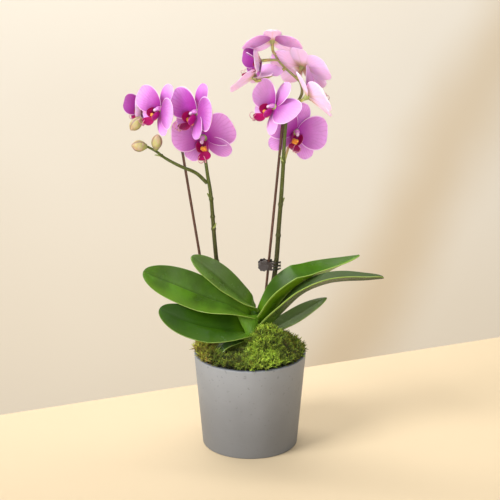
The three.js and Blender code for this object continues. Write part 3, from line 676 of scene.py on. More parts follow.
def moss_look(look):
    """Moss: old and yellow-brown at the left, with a bright tuft in the middle, painted shade in dark olive
    round the tuft, and painted shade at the sprigs' feet and on the mound beneath them.
    """
    look.plain(Roughness=0.8, Subsurface_Weight=0.1, Subsurface_Scale=0.003)
    place, tip = look.place, look.own("tip")
    looks = bpy.context.scene.orchid_looks
    green, old = looks.moss_colour, looks.dry_moss_colour
    spot = plus(axis(place, 0), wander(place, 60.0, 0.05))
    tuft = maths("MINIMUM", smooth_step(spot, -0.012, 0.004), smooth_step(spot, 0.042, 0.028))
    patch = smooth_step(noise(place, 75.0, 6.0, 0.75), 0.4, 0.62)
    rust = smooth_step(noise(place, 130.0), 0.56, 0.64)
    # Painted shade: the moss round the bright tuft is made dark olive.
    painted_shade_olive = blend(patch, (0.03, 0.035, 0.008), shade(green, 0.45))
    fresh = blend(times(plus(tuft, 0.12), 0.9, clamp=True), painted_shade_olive, blend(patch, shade(green, 0.35), green))
    dry = layered(blend(patch, (0.2, 0.16, 0.03), shade(old, 1.3)), (rust, 0.45, (0.4, 0.16, 0.06)))
    body = blend(smooth_step(spot, -0.05, -0.034), dry, fresh)
    lit = blend(0.6, body, (0.64, 0.84, 0.08))
    # Painted shade: the low parts of the sprigs and the mound beneath them are darkened, as in the hollows.
    painted_hollow_shade = blend(1.0, body, (0.07, 0.08, 0.04), "MULTIPLY")
    reach = plus(plus(tip, wander(place, 150.0, 1.1, 2.0)), times(tuft, 0.15))
    colour = blend(smooth_step(tip, 0.1, 0.75), painted_hollow_shade, body)
    colour = blend(smooth_step(reach, 0.68, 1.15), colour, lit)
    look.feed(colour, None, noise(place, 900.0), 0.0006, 0.6)


def leaf_look(look):
    """A glossy leaf, paler underneath and at its foot, with fine lines; painted shade darkens its far half, its
    keel and the leaves given a deep value, painted light brightens its near edge, and a painted grey sheen and
    a painted highlight along its rims lie over it.
    """
    look.plain(Specular_IOR_Level=0.24, Subsurface_Weight=0.06, Subsurface_Scale=0.002)
    base = bpy.context.scene.orchid_looks.leaf_colour
    veins = veined(look.uv, 34.0, 0.8)
    side, across = axis(look.uv, 0), veins["Across"]
    patch = smooth_step(noise(look.place, 26.0, 4.0, 0.6), 0.35, 0.68)
    top = layered(
        blend(patch, shade(base, 0.62), shade(base, 1.5)),
        # Painted shade on the far half.
        (smooth_step(side, 0.47, 0.54), 0.5, shade(base, 0.55)),
        (veins["Line"], 0.2, (0.1, 0.24, 0.02)),
        # Painted light along the near edge.
        (smooth_step(side, 0.3, 0.02), 0.45, (0.13, 0.27, 0.01)),
        # Painted shade in the keel's crease.
        (smooth_step(across, 0.045, 0.0), 0.7, (0.012, 0.035, 0.002)),
    )
    below = blend(patch, (0.1, 0.22, 0.004), (0.2, 0.36, 0.01))
    colour = layered(
        blend(look.own("under"), top, below),
        # Painted shade where a leaf's deep value asks for it.
        (look.own("deep"), 0.8, (0.014, 0.052, 0.001)),
        # Painted grey sheen where a leaf's grey value asks for it.
        (look.own("grey"), 0.55, (0.12, 0.135, 0.065)),
        (smooth_step(veins["Along"], 0.3, 0.06), 0.6, (0.14, 0.3, 0.01)),
        # Painted highlight along the rims.
        (smooth_step(across, 0.965, 1.0), 0.75, (0.36, 0.5, 0.1)),
    )
    grain = grained(look.place, 500.0, 0.24, 0.25)
    height = plus(times(veins["Line"], 0.6), times(patch, 1.5))
    look.feed(colour, grain["Roughness"], height, 0.0006, 0.35)


def stem_look(look, foot, above, low=0.14, high=0.3):
    """A stem that changes from one colour at its foot to another above, with a paler end and pale flecks."""
    look.plain(Specular_IOR_Level=0.3, Subsurface_Weight=0.05, Subsurface_Scale=0.002)
    height = axis(look.place, 2)
    share = smooth_step(plus(height, wander(look.place, 60.0, 0.08)), low, high)
    grain = grained(look.place, 700.0, 0.42, 0.2)
    colour = layered(
        blend(share, foot, above),
        (grain["Tone"], 0.4, shade(above, 0.55)),
        (smooth_step(height, 0.402, 0.42), 0.8, (0.34, 0.34, 0.13)),
        (smooth_step(noise(look.place, 900.0, 1.0), 0.66, 0.72), 0.4, (0.45, 0.5, 0.25)),
    )
    look.feed(colour, grain["Roughness"], grain["Height"], 0.0002, 0.3)


def petal_look(look):
    """A petal: a deep centre, a fan of veins, paler outwards, and paler still at its rim and behind; painted
    shade darkens the blooms that ask for it and spreads their deep centre.
    """
    look.plain(
        Subsurface_Weight=0.2, Subsurface_Scale=0.002, Sheen_Weight=0.2, Sheen_Roughness=0.5,
        Sheen_Tint=(1, 0.85, 1, 1), Specular_IOR_Level=0.25,
    )
    looks = bpy.context.scene.orchid_looks
    pink, deep = looks.petal_colour, looks.centre_colour
    veins = veined(look.uv, 13.0, 0.9, 0.4, 5.0)
    across, along, dark = veins["Across"], veins["Along"], look.own("dark")
    rim = maths("MAXIMUM", smooth_step(across, 0.9, 1.0), smooth_step(along, 0.95, 1.0))
    mottle = smooth_step(noise(look.place, 110.0, 6.0, 0.7), 0.35, 0.7)
    front = layered(
        blend(mottle, shade(pink, 0.85), shade(pink, 1.25)),
        (smooth_step(along, 0.4, 0.95), 0.75, (0.88, 0.45, 0.96)),
        # Painted shade: a bloom's dark value spreads the deep centre further out and darkens the whole face.
        (smooth_step(along, plus(0.88, times(dark, 0.7)), 0.02), 1.0, deep),
        (dark, 0.75, shade(deep, 0.7)),
        (veins["Line"], 0.34, deep),
    )
    back = layered(
        blend(smooth_step(along, 0.4, 0.04), (0.98, 0.68, 0.94), (0.66, 0.44, 0.2)),
        (veins["Line"], 0.25, (0.55, 0.14, 0.5)),
        (smooth_step(across, 0.12, 0.0), 0.35, (0.55, 0.42, 0.3)),
    )
    colour = layered(
        blend(look.own("under"), front, back),
        (look.own("pale"), smooth_step(along, 0.1, 0.6), (0.86, 0.62, 0.9)),
        (rim, 0.75, (0.92, 0.74, 0.94)),
    )
    grain = grained(look.place, 900.0, 0.5, 0.15)
    height = plus(times(veins["Line"], -0.5), times(grain["Height"], 0.5))
    look.feed(colour, grain["Roughness"], height, 0.0005, 0.4)


def lip_look(look):
    """A deep red lip with darker lines and a paler rim."""
    look.plain(Specular_IOR_Level=0.25, Subsurface_Weight=0.1, Subsurface_Scale=0.002)
    base = bpy.context.scene.orchid_looks.lip_colour
    veins = veined(look.uv, 9.0, 1.0)
    colour = layered(
        blend(noise(look.place, 200.0), shade(base, 0.55), shade(base, 1.4)),
        (veins["Line"], 0.3, (0.2, 0.0, 0.04)),
        (look.own("under"), 0.7, (0.36, 0.008, 0.2)),
        (smooth_step(veins["Across"], 0.9, 1.0), 0.3, (0.75, 0.25, 0.5)),
    )
    look.feed(colour, grained(look.place, 900.0, 0.4, 0.2)["Roughness"], veins["Line"], 0.0003, 0.3)


def speckled_look(look, pale, dark, scale, amount=0.6):
    """A pale surface with dark spots."""
    look.plain(Subsurface_Weight=0.15, Subsurface_Scale=0.002)
    spots = smooth_step(noise(look.place, scale, 2.0), 0.5, 0.62)
    grain = grained(look.place, 900.0, 0.42, 0.2)
    look.feed(layered(pale, (spots, amount, dark)), grain["Roughness"], grain["Height"], 0.0002, 0.25)


def bud_look(look):
    """A bud that turns from green at its foot to brown at its tip, with a blush and three dark grooves."""
    look.plain(Subsurface_Weight=0.2, Subsurface_Scale=0.003)
    turn = maths("PINGPONG", times(axis(look.uv, 0), 3.0), 0.5)
    stops = [(0, (0.2, 0.25, 0.05)), (0.35, (0.4, 0.39, 0.13)), (1, (0.44, 0.34, 0.16))]
    colour = layered(
        ramp(axis(look.uv, 1), stops),
        (smooth_step(noise(look.place, 160.0), 0.45, 0.7), 0.5, (0.55, 0.28, 0.35)),
        (smooth_step(turn, 0.14, 0.02), 0.7, (0.2, 0.08, 0.12)),
    )
    grain = grained(look.place, 800.0, 0.45, 0.15)
    look.feed(colour, grain["Roughness"], grain["Height"], 0.0002, 0.25)


def stake_look(look):
    """Dark stained wood with its grain drawn along Z."""
    grain = noise(scaled(look.place, (1.0, 1.0, 0.06)), 1500.0, 4.0, 0.6)
    stops = [(0.3, (0.035, 0.014, 0.008)), (0.6, (0.11, 0.045, 0.026)), (0.8, (0.2, 0.09, 0.05))]
    look.feed(ramp(grain, stops), maths("MULTIPLY_ADD", grain, 0.3, 0.5), grain, 0.0003, 0.5)


def clip_look(look):
    """Dark moulded plastic."""
    look.plain(Coat_Weight=0.15)
    tint = bpy.context.scene.orchid_looks.clip_colour
    grain = grained(look.place, 1200.0, 0.3, 0.15)
    colour = blend(grain["Tone"], shade(tint, 0.8), shade(tint, 1.25))
    look.feed(colour, grain["Roughness"], grain["Height"], 0.0001, 0.2)


def steel_look(look):
    """Drawn spring wire."""
    look.plain(Metallic=1.0)
    drawn = noise(scaled(look.place, (1.0, 1.0, 8.0)), 900.0)
    colour = blend(drawn, (0.3, 0.29, 0.28), (0.55, 0.53, 0.5))
    look.feed(colour, maths("MULTIPLY_ADD", drawn, 0.25, 0.25), drawn, 0.0001, 0.2)


def table_look(look):
    """A pale table, brightened at the front by painted light and darkened a little towards its back by painted
    shade.
    """
    look.plain(Roughness=0.6)
    colour = blend(noise(look.place, 3.0), (0.55, 0.45, 0.3), (0.585, 0.48, 0.325))
    # Painted light and shade: lighter at the front, darker towards the back.
    back = smooth_step(axis(look.place, 1), -0.15, 0.9)
    colour = blend(1.0, colour, blend(back, (1.06, 1.05, 1.04), (0.87, 0.85, 0.83)), "MULTIPLY")
    look.feed(colour, None, noise(look.place, 400.0), 0.0003, 0.15)


def backdrop_look(look):
    """A cream backdrop with one soft slanting band of painted shade, and painted light that makes it lighter
    lower down.
    """
    look.plain(Roughness=0.85)
    place = look.place
    slant = plus(vector("DOT_PRODUCT", place, (0.908, 0, -0.418))[1], times(noise(place, 2.5, 2.0), 0.12))
    band = maths("MINIMUM", smooth_step(slant, 0.44, 0.6), smooth_step(slant, 0.78, 0.6))
    cream = blend(noise(place, 1.5, 2.0), (0.8, 0.72, 0.6), (0.86, 0.79, 0.68))
    # Painted light: lighter lower down, darker higher up.
    fall = blend(smooth_step(axis(place, 2), 0.2, -0.9), (0.86, 0.87, 0.88), (1.07, 1.03, 0.96))
    colour = blend(1.0, layered(cream, (band, 0.75, (0.68, 0.54, 0.36))), fall, "MULTIPLY")
    look.feed(colour, None, noise(place, 200.0, 2.0), 0.0002, 0.1)


# Each finish's maker, and the values of those that share one.
LOOKS = {
    "pot": (pot_look,),
    "bark": (bark_look,),
    "moss": (moss_look,),
    "leaf": (leaf_look,),
    "crown": (stem_look, (0.12, 0.16, 0.03), (0.05, 0.13, 0.008), 0.1, 0.14),
    "stem": (stem_look, (0.04, 0.03, 0.015), (0.085, 0.11, 0.016), 0.18, 0.38),
    "bract": (stem_look, (0.3, 0.36, 0.1), (0.36, 0.44, 0.12)),
    "petal": (petal_look,),
    "lip": (lip_look,),
    "callus": (speckled_look, (0.9, 0.42, 0.05), (0.5, 0.03, 0.05), 900.0),
    "tendril": (speckled_look, (0.6, 0.3, 0.35), (0.2, 0.02, 0.08), 500.0),
    "pedicel": (speckled_look, (0.38, 0.4, 0.1), (0.4, 0.24, 0.14), 120.0, 0.8),
    "column": (speckled_look, (0.62, 0.24, 0.6), (0.4, 0.05, 0.35), 500.0, 0.5),
    "cap": (speckled_look, (0.72, 0.5, 0.7), (0.6, 0.3, 0.55), 500.0, 0.4),
    "bud": (bud_look,),
    "stake": (stake_look,),
    "clip": (clip_look,),
    "steel": (steel_look,),
    "table": (table_look,),
    "backdrop": (backdrop_look,),
}


def finish(name):
    """The finish of that name, made the first time it is asked for."""
    label = "orchid_" + name
    if label not in bpy.data.materials:
        maker, *values = LOOKS[name]
        maker(Look(label), *values)
    return bpy.data.materials[label]


# ---------- Pot and what fills it ----------

# The pot: its height, its radii outside, its wall and floor, the rounding of its foot and rim, the hollow under
# it and the width of the ring that it stands on.
POT = {
    "height": 112, "top": 65, "base": 55.5, "wall": 4.5, "floor": 7, "edge": 1.2, "bead": 2.1, "hollow": 0.8,
    "ring": 7,
}
MEDIUM_TOP = 98

# The moss: its level, the height of its dome, the least height and the drop of its edge, how far it sinks,
# and its gaps to the pot's wall and above the bark.
# Then its swells and hollows, each with its height, its middle and its squared widths along X and Y.
MOSS = {"level": 111, "dome": 9, "least": 114.2, "drop": 3.6, "sink": 0.4, "gap": 0.6, "bed": 0.4}
SWELLS = [
    (24, 21, -18, 420, 260), (7, -52, 4, 260, 260), (3.5, -42, -34, 120, 120),
    (-6.5, -14, -26, 260, 260), (-5, 47, -8, 120, 120),
]


def rounded(corner, before, after, radius, steps=5):
    """An arc that rounds a corner of a profile."""
    corner, before, after = (np.array(p, float) for p in (corner, before, after))
    a, b = unit(before - corner), unit(after - corner)
    start, end = corner + a * radius, corner + b * radius
    t = np.linspace(0, 1, steps)[:, None]
    return (start * (1 - t) ** 2 + corner * 2 * t * (1 - t) + end * t**2).tolist()


def inner_radius(z):
    """The radius of the pot's inside at a height."""
    return POT["base"] + (POT["top"] - POT["base"]) * z / POT["height"] - POT["wall"]


def make_pot():
    """The pot in one turned piece, with a hollow foot and a rounded rim."""
    height, top, base, floor, bead = (POT[k] for k in ("height", "top", "base", "floor", "bead"))
    foot, rim = (base, 0), (top, height)
    rim_in, floor_in = (inner_radius(height), height), (inner_radius(floor), floor)
    ring_in = (base - POT["ring"], 0)
    outline = [(0, POT["hollow"]), (base - POT["ring"] - 1, POT["hollow"]), ring_in]
    outline += rounded(foot, ring_in, rim, POT["edge"])
    outline += [(base + (top - base) * t, height * t) for t in (0.25, 0.5, 0.75)]
    outline += rounded(rim, foot, rim_in, bead, 7)
    outline += rounded(rim_in, rim, floor_in, bead, 7)
    outline += rounded(floor_in, rim_in, (0, floor), 3)
    outline += [(0, floor)]
    shape = Shape()
    shape.lathe(np.array(outline) * MM)
    piece("cover_pot", shape.mesh("cover_pot"), ["pot"], BODY, "pot")


def moss_height(x, y):
    """Height of the moss in millimetres: a low dome with its swells and hollows, and fine lumps."""
    dome = MOSS["dome"] * (1 - (x * x + y * y) / 3600)
    swells = sum(h * np.exp(-((x - a) ** 2) / wide - (y - b) ** 2 / deep) for h, a, b, wide, deep in SWELLS)
    lumps = 1.5 * np.sin(0.36 * x + 1.1) * np.cos(0.33 * y) + 1.1 * np.sin(0.21 * x - 0.5 * y)
    return MOSS["level"] + dome + swells + lumps


def moss_mound(rings=44, sides=128):
    """The closed mound that the sprigs stand on, with its foot on the bark."""
    foot = MEDIUM_TOP + MOSS["bed"]
    turn = np.linspace(0, 2 * np.pi, sides + 1)[:-1]
    share = np.linspace(0, 1, rings + 1)[:, None]
    reach = (inner_radius(MEDIUM_TOP) - MOSS["gap"]) * share
    x, y = reach * np.cos(turn), reach * np.sin(turn)
    fine = 2.2 * np.sin(0.5 * x + 0.4 * y) * np.sin(0.5 * y - 0.3 * x)
    fine = fine + 1.2 * np.sin(1.1 * x) * np.sin(1.2 * y + 1)
    rim = np.clip((share - 0.72) / 0.2, 0, 1)
    drop = np.clip((share - 0.9) / 0.1, 0, 1)
    level = np.maximum(moss_height(x, y) + 0.5 * fine, MOSS["least"])
    z = (moss_height(x, y) + fine) * (1 - rim) + level * rim - MOSS["drop"] * drop**1.5 - MOSS["sink"]
    wall = np.stack([x[-1], y[-1], np.full(sides, foot)], -1)[None]
    centre = np.zeros((1, sides, 3)) + [0, 0, foot]
    shape = Shape()
    shape.rounds(np.concatenate([np.stack([x, y, z], -1), wall, centre]) * MM)
    # The mound's faces carry a low tip value, which gives them the painted shade of the moss's hollows.
    return shape.mesh("moss", tip=0.1)


def sprig_mesh(leaflets=4):
    """One moss sprig: an upright needle with leaflets that lean out of it, a few faces each."""
    points, faces, tips = [], [], []
    needles = [((0, 0, 0), (0.05, 0.0, 1.0), 0.085)]
    reach, golden_turn = 0.34, 2.4
    for k in range(leaflets):
        turn = golden_turn * k
        foot = 0.18 + 0.14 * k
        tip = (reach * math.cos(turn), reach * math.sin(turn), foot + 0.36)
        needles.append(((0, 0, foot), tip, 0.075))
    for foot, tip, width in needles:
        foot, tip = np.array(foot), np.array(tip)
        along = unit(tip - foot)
        side = unit(np.cross(along, [0.3, 1.0, 0.1]))
        ring = [foot + turned(side, along, a) * width for a in (0, 120, 240)]
        first = len(points)
        points += [p.tolist() for p in ring] + [tip.tolist()]
        faces += [[first + a, first + b, first + 3] for a, b in ((0, 1), (1, 2), (2, 0))]
        faces.append([first + 2, first + 1, first])
        # Each point keeps its height in the sprig as its tip value, which sets how much painted shade it gets
        # near its foot.
        tips += [foot[2] * 0.8] * 3 + [tip[2]]
    mesh = bpy.data.meshes.new("sprig")
    mesh.from_pydata(points, [], faces)
    layer = mesh.attributes.new("tip", "FLOAT", "POINT")
    layer.data.foreach_set("value", [min(1.0, max(0.0, t)) for t in tips])
    return mesh


def sprig_tree():
    """Scatters sprigs over the upper faces of a mound, spun at random, that lean outwards near its edge."""
    tree, given, out = new_group(
        "Moss Sprigs", "GeometryNodeTree",
        [("Geometry", "Geometry", None), ("Density", "Float", 200000.0), ("Length", "Float", 0.007),
         ("Spread", "Float", 0.5), ("Reach", "Float", 0.058), ("Seed", "Int", 7), ("Sprig", "Object", None),
         ("Finish", "Material", None)],
        [("Geometry", "Geometry")],
    )

    def put(kind, values=None, **options):
        """The outputs of a new node."""
        return new_node(tree, kind, values, **options).outputs

    def chance(low, high, seed):
        """A number drawn for each point."""
        values = {2: low, 3: high, "Seed": seed}
        return put("FunctionNodeRandomValue", values, data_type="FLOAT")[1]

    facing = axis(put("GeometryNodeInputNormal")[0], 2)
    upper = put("FunctionNodeCompare", {0: facing, 1: 0.3}, operation="GREATER_THAN")[0]
    flat = vector("MULTIPLY", put("GeometryNodeInputPosition")[0], (1, 1, 0))[0]
    reach = vector("LENGTH", flat)["Value"]
    inside = put("FunctionNodeCompare", {0: reach, 1: given["Reach"]}, operation="LESS_THAN")[0]
    where = put("FunctionNodeBooleanMath", {0: upper, 1: inside}, operation="AND")[0]
    spread = put(
        "GeometryNodeDistributePointsOnFaces",
        {"Mesh": given["Geometry"], "Selection": where, "Density": given["Density"], "Seed": given["Seed"]},
    )
    values = {0: (-1, -1, 0.0), 1: (1, 1, 0.8), "Seed": 3}
    lean = put("FunctionNodeRandomValue", values, data_type="FLOAT_VECTOR")[0]
    lean = vector("SCALE", lean, scale=given["Spread"])[0]
    way = vector("ADD", vector("ADD", spread["Normal"], (0, 0, 0.9))[0], lean)[0]
    # The sprigs near the edge lean further out.
    spill = vector("SCALE", flat, scale=times(smooth_step(reach, 0.05, 0.0587), 22.0))[0]
    way = vector("ADD", way, spill)[0]
    turn = put("FunctionNodeAlignRotationToVector", {"Vector": way}, axis="Z")[0]
    spin = put("FunctionNodeAxisAngleToRotation", {"Axis": (0, 0, 1), "Angle": chance(0.0, 6.28, 9)})[0]
    turn = put("FunctionNodeRotateRotation", {0: turn, 1: spin}, rotation_space="LOCAL")[0]
    size = times(chance(0.5, 1.5, 5), given["Length"])
    sprig = put("GeometryNodeObjectInfo", {"Object": given["Sprig"]})["Geometry"]
    values = {"Points": spread["Points"], "Instance": sprig, "Rotation": turn, "Scale": size}
    placed = put("GeometryNodeInstanceOnPoints", values)[0]
    real = put("GeometryNodeRealizeInstances", {"Geometry": placed})[0]
    joined = tree.nodes.new("GeometryNodeJoinGeometry")
    tree.links.new(real, joined.inputs[0])
    tree.links.new(given["Geometry"], joined.inputs[0])
    values = {"Geometry": joined.outputs[0], "Material": given["Finish"]}
    tree.links.new(put("GeometryNodeSetMaterial", values)[0], out[0])
    return tree


def grown(name, mesh, tree, values):
    """The plain mesh that a node tree makes of a mesh."""
    obj = linked(name, mesh)
    modifier = obj.modifiers.new("grown", "NODES")
    modifier.node_group = tree
    for item in tree.interface.items_tree:
        if item.in_out == "INPUT" and item.name in values:
            modifier[item.identifier] = values[item.name]
    graph = bpy.context.evaluated_depsgraph_get()
    made = bpy.data.meshes.new_from_object(obj.evaluated_get(graph), depsgraph=graph)
    obj.modifiers.clear()
    bpy.data.objects.remove(obj)
    made.name = name
    return made


def make_moss():
    """The mound with its sprigs, as one mesh."""
    sizes = bpy.context.scene.orchid_sizes
    sprig = linked("sprig", sprig_mesh())
    values = {
        "Density": sizes.sprig_density, "Length": sizes.sprig_length, "Spread": 0.8, "Reach": 0.0585,
        "Seed": sizes.seed, "Sprig": sprig, "Finish": finish("moss"),
    }
    mesh = grown("moss_cushion", moss_mound(), sprig_tree(), values)
    bpy.data.objects.remove(sprig)
    mesh.materials.clear()
    piece("moss_cushion", mesh, ["moss"], BODY, "moss")


def make_medium():
    """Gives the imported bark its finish."""
    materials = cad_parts["growing_medium"].data.materials
    materials.clear()
    materials.append(finish("bark"))


# ---------- Crown, leaves, spikes and buds ----------

ROOT_RADIUS = 2.8
ROOTS = [
    [[8, 8, 84], [-14, 2, 72], [-26, -10, 40]],
    [[8, 8, 84], [28, 6, 70], [36, 18, 36]],
    [[8, 8, 80], [-4, 26, 64], [-14, 34, 36]],
    [[8, 8, 80], [12, -18, 64], [2, -32, 30]],
]


def make_crown():
    """The short stem between the leaves, with its roots in the bark."""
    route = Route(CROWN["path"])
    u = np.linspace(0, 1, 60)
    swell = CROWN["sheaths"] * np.exp(-(((u - 0.68) / 0.14) ** 2))
    radii = (CROWN["base"] + (CROWN["tip"] - CROWN["base"]) * u**2 + swell) * MM
    shape = Shape()
    shape.tube(route.at(u), radii, 28)
    share = np.linspace(0, 1, 24)
    for path in ROOTS:
        shape.tube(Route(path).at(share), (ROOT_RADIUS * (1 - 0.45 * share)) * MM, 10)
    piece("leafy_crown", shape.mesh("leafy_crown"), ["crown"], BODY, "crown")


def between(values, u):
    """A value that passes through one at the foot, one at the middle and one at the tip."""
    return np.interp(u, [0, 0.5, 1], values)


def leaf_frame(route, u, roll):
    """The side and normal of a leaf along its keel: its side points backwards, raised by the roll."""
    along = route.along(u)
    level = unit(np.cross(UP, along))
    level *= np.where(level[:, 1:2] < 0, -1, 1)
    over = unit(np.cross(along, level))
    over *= np.where(over[:, 2:3] < 0, -1, 1)
    angle = np.radians(between(roll, u))[:, None]
    return level * np.cos(angle) + over * np.sin(angle), over * np.cos(angle) - level * np.sin(angle)


def add_sheath(shape):
    """The clasping foot of a leaf: a bowed sheet between two edges."""
    u, v = np.linspace(0, 1, 17), np.linspace(0, 1, 11)
    left, right = (Route(SHEATH[side]).at(u)[:, None] for side in ("left", "right"))
    points = left * (1 - v)[:, None] + right * v[:, None]
    points[..., 1] -= SHEATH["bulge"] * MM * 4 * v * (1 - v)
    across, lengthwise = np.meshgrid(0.12 + 0.3 * v, 0.18 + 0.08 * u)
    normal = np.broadcast_to([0.0, -1.0, 0.0], points.shape)
    shape.sheet(points, normal, SHEATH["thick"] * MM, across, lengthwise, (False, False), under_mark=0.0)


def leaf_sheet(leaf, rows=64, cols=24):
    """A leaf's grid of points, with its normal, its thickness, and its places across and along."""
    route = Route(leaf["path"])
    u, v = 1 - (1 - np.linspace(0, 1, rows + 1)) ** 1.25, eased(cols)
    side, normal = leaf_frame(route, u, leaf["roll"])
    rise = leaf["foot"] + (1 - leaf["foot"]) * np.sin(np.pi / 2 * np.minimum(1, u / leaf["peak"]))
    past = np.maximum(0, (u - leaf["peak"]) / (1 - leaf["peak"]))
    half = leaf["half"] * MM * rise * np.maximum(0, 1 - past**2) ** leaf["tip"]
    slope = np.tan(np.radians(between(leaf["fold"], u)))
    ruffle = 0.5 * MM * np.sin(9 * u + 2)[:, None] * v**2
    groove = -0.55 * MM * np.exp(-((v / 0.09) ** 2)) * np.sin(np.pi * u)[:, None].clip(0) ** 0.5
    lift = (half * slope)[:, None] * np.abs(v) * (1.12 - 0.12 * np.abs(v)) + ruffle + groove
    points = ribbon(route.at(u), side, half[:, None] * v, normal, lift)
    thick = 2.2 * MM * (1.25 - 0.6 * np.abs(v)) * (1.5 - 0.7 * u)[:, None]
    across, lengthwise = np.meshgrid((v + 1) / 2, u)
    return points, np.broadcast_to(normal[:, None], points.shape), thick, across, lengthwise


def make_leaf(name, leaf):
    """One leaf; the upper left one has its clasping foot too."""
    shape = Shape()
    shape.sheet(*leaf_sheet(leaf), (False, True))
    if name == "leaf_left_upper":
        add_sheath(shape)
    # The leaf keeps its painted grey sheen and its painted shade as values on its faces.
    mesh = shape.mesh(name, grey=leaf["grey"], deep=leaf["deep"])
    piece("blade_" + name, mesh, ["leaf"], BODY, name)


def add_bract(shape, route, at, turn, length, slot=1):
    """A small pointed scale that clasps a spike."""
    root, along = route.at([at])[0], route.along([at])[0]
    across = unit(np.array([1.0, 0, 0]) - along * along[0])
    out = turned(across, along, turn)
    side = unit(np.cross(out, along))
    u, v = np.linspace(0, 1, 15), np.linspace(-1, 1, 9)
    half = 3.0 * np.sqrt(np.maximum(0, 1 - u)) * np.minimum(1, 0.4 + 3 * u) * MM
    spine = root + along * (length * u * MM)[:, None] + out * ((1.2 + 3.2 * u) * MM)[:, None]
    lift = -1.6 * MM * v**2 * (1 - u)[:, None]
    points = ribbon(spine, side, half[:, None] * v, out, lift)
    across, lengthwise = np.meshgrid((v + 1) / 2, u)
    normal = np.broadcast_to(out, points.shape)
    shape.sheet(points, normal, np.full(v.shape, 0.9 * MM), across, lengthwise, (False, True), slot)


def add_spike(shape, spike):
    """A spike with its rings and bracts; gives its route."""
    route = Route(spike["path"])
    u = np.linspace(0, 1, 260)
    radii = spike["base"] + (spike["tip"] - spike["base"]) * u**1.4
    for ring in spike["rings"] + [bract[0] for bract in spike["bracts"]]:
        radii = radii + 0.7 * np.exp(-(((u - ring) / 0.005) ** 2))
    shape.tube(route.at(u), radii * MM, 18)
    for at, turn, length in spike["bracts"]:
        add_bract(shape, route, at, turn, length)
    return route


def bloom_axes(turn):
    """The right, up and forward directions of a bloom."""
    face, pitch, roll = (math.radians(a) for a in turn)
    out = np.array([math.sin(face) * math.cos(pitch), -math.cos(face) * math.cos(pitch), math.sin(pitch)])
    right = unit(np.cross(UP, out))
    up = np.cross(out, right)
    c, s = math.cos(-roll), math.sin(-roll)
    return np.stack([right * c + up * s, up * c - right * s, out])


def add_stalk(shape, start, bloom):
    """A flower's stalk, from its spike to the back of its bloom."""
    out = bloom_axes(bloom["turn"])[2]
    overlap = 0.6
    end = (np.array(bloom["at"]) - out * (BLOOM_BACK * bloom["size"] - overlap)) * MM
    lead = end - out * bloom["from"][2] * MM
    t = np.linspace(0, 1, 30)[:, None]
    middle = (start + lead) / 2
    points = start * (1 - t) ** 3 + middle * 3 * t * (1 - t) ** 2 + lead * 3 * t**2 * (1 - t) + end * t**3
    radii = 1.5 * (0.9 + 0.3 * t[:, 0]) + 0.5 * np.exp(-((t[:, 0] / 0.1) ** 2))
    shape.tube(points, radii * MM, 14, 2)


def make_spike(side, spikes):
    """A spike with its branch, and the stalks of the blooms that it bears."""
    shape = Shape()
    routes = [add_spike(shape, spike) for spike in spikes]
    for bloom in BLOOMS.values():
        if bloom["from"][0] == side:
            add_stalk(shape, routes[0].at([bloom["from"][1]])[0], bloom)
    name = "spike_" + side
    piece("flower_" + name, shape.mesh(name), ["stem", "bract", "pedicel"], BODY, name)


def make_bud(name, bud):
    """A closed bud: three shallow lobes with grooves between them that meet at its tip."""
    along = unit(np.array(bud["along"], float))
    u = np.linspace(0, 1, 26)
    places = [0, 0.1, 0.34, 0.55, 0.8, 0.95, 1.0]
    swell = np.interp(u, places, [0.35, 0.55, 0.92, 1.0, 0.8, 0.42, 0.1])
    swell = np.convolve(np.pad(swell, 2, mode="edge"), np.ones(5) / 5, "valid")
    points = np.array(bud["at"]) * MM + along * (bud["length"] * u * MM)[:, None]

    def grooved(turn):
        """The share of the radius left by the three grooves."""
        return 1 - 0.09 * np.exp(-((np.abs(np.sin(1.5 * turn)) / 0.22) ** 2))

    shape = Shape()
    shape.tube(points, swell * bud["radius"] * MM, 36, shape=grooved)
    piece("closed_" + name, shape.mesh(name), ["bud"], BODY, name)


# ---------- Blooms ----------


def tepal_grid(tepal, angle, lean, twist, rows=22, cols=14):
    """The grid of a sepal or petal in its bloom's frame, with its normal, its thickness and its chart."""
    turn = math.radians(angle)
    flat = np.array([math.sin(turn), math.cos(turn), 0])
    side = np.cross(flat, BLOOM_FRONT)
    out = turned(flat, side, lean)
    normal = np.cross(side, out)
    u, v = np.linspace(0, 1, rows + 1), eased(cols)
    u = u**1.3 * 0.5 + (1 - (1 - u) ** 1.5) * 0.5
    half = petal_half(u, tepal["half"], tepal["rise"], tepal["fall"])
    lift = tepal["level"] + (2.4 * u * (1 - u) - 2 * u**2)[:, None] + 1.4 * v**2 * u[:, None]
    lift = lift + 0.35 * tepal["broad"] * np.sin(7 * u + 1)[:, None] * np.abs(v) * v
    bend = (np.radians(twist) * np.minimum(1, 0.4 + u))[:, None]
    across = side * np.cos(bend) + normal * np.sin(bend)
    facing = normal * np.cos(bend) - side * np.sin(bend)
    points = ribbon(out * (1 + tepal["length"] * u)[:, None], across, half[:, None] * v, facing, lift)
    thick = np.broadcast_to(1.0 * (1 - 0.4 * v**2), (rows + 1, cols + 1))
    return points, np.broadcast_to(facing[:, None], points.shape), thick, np.meshgrid((v + 1) / 2, u)


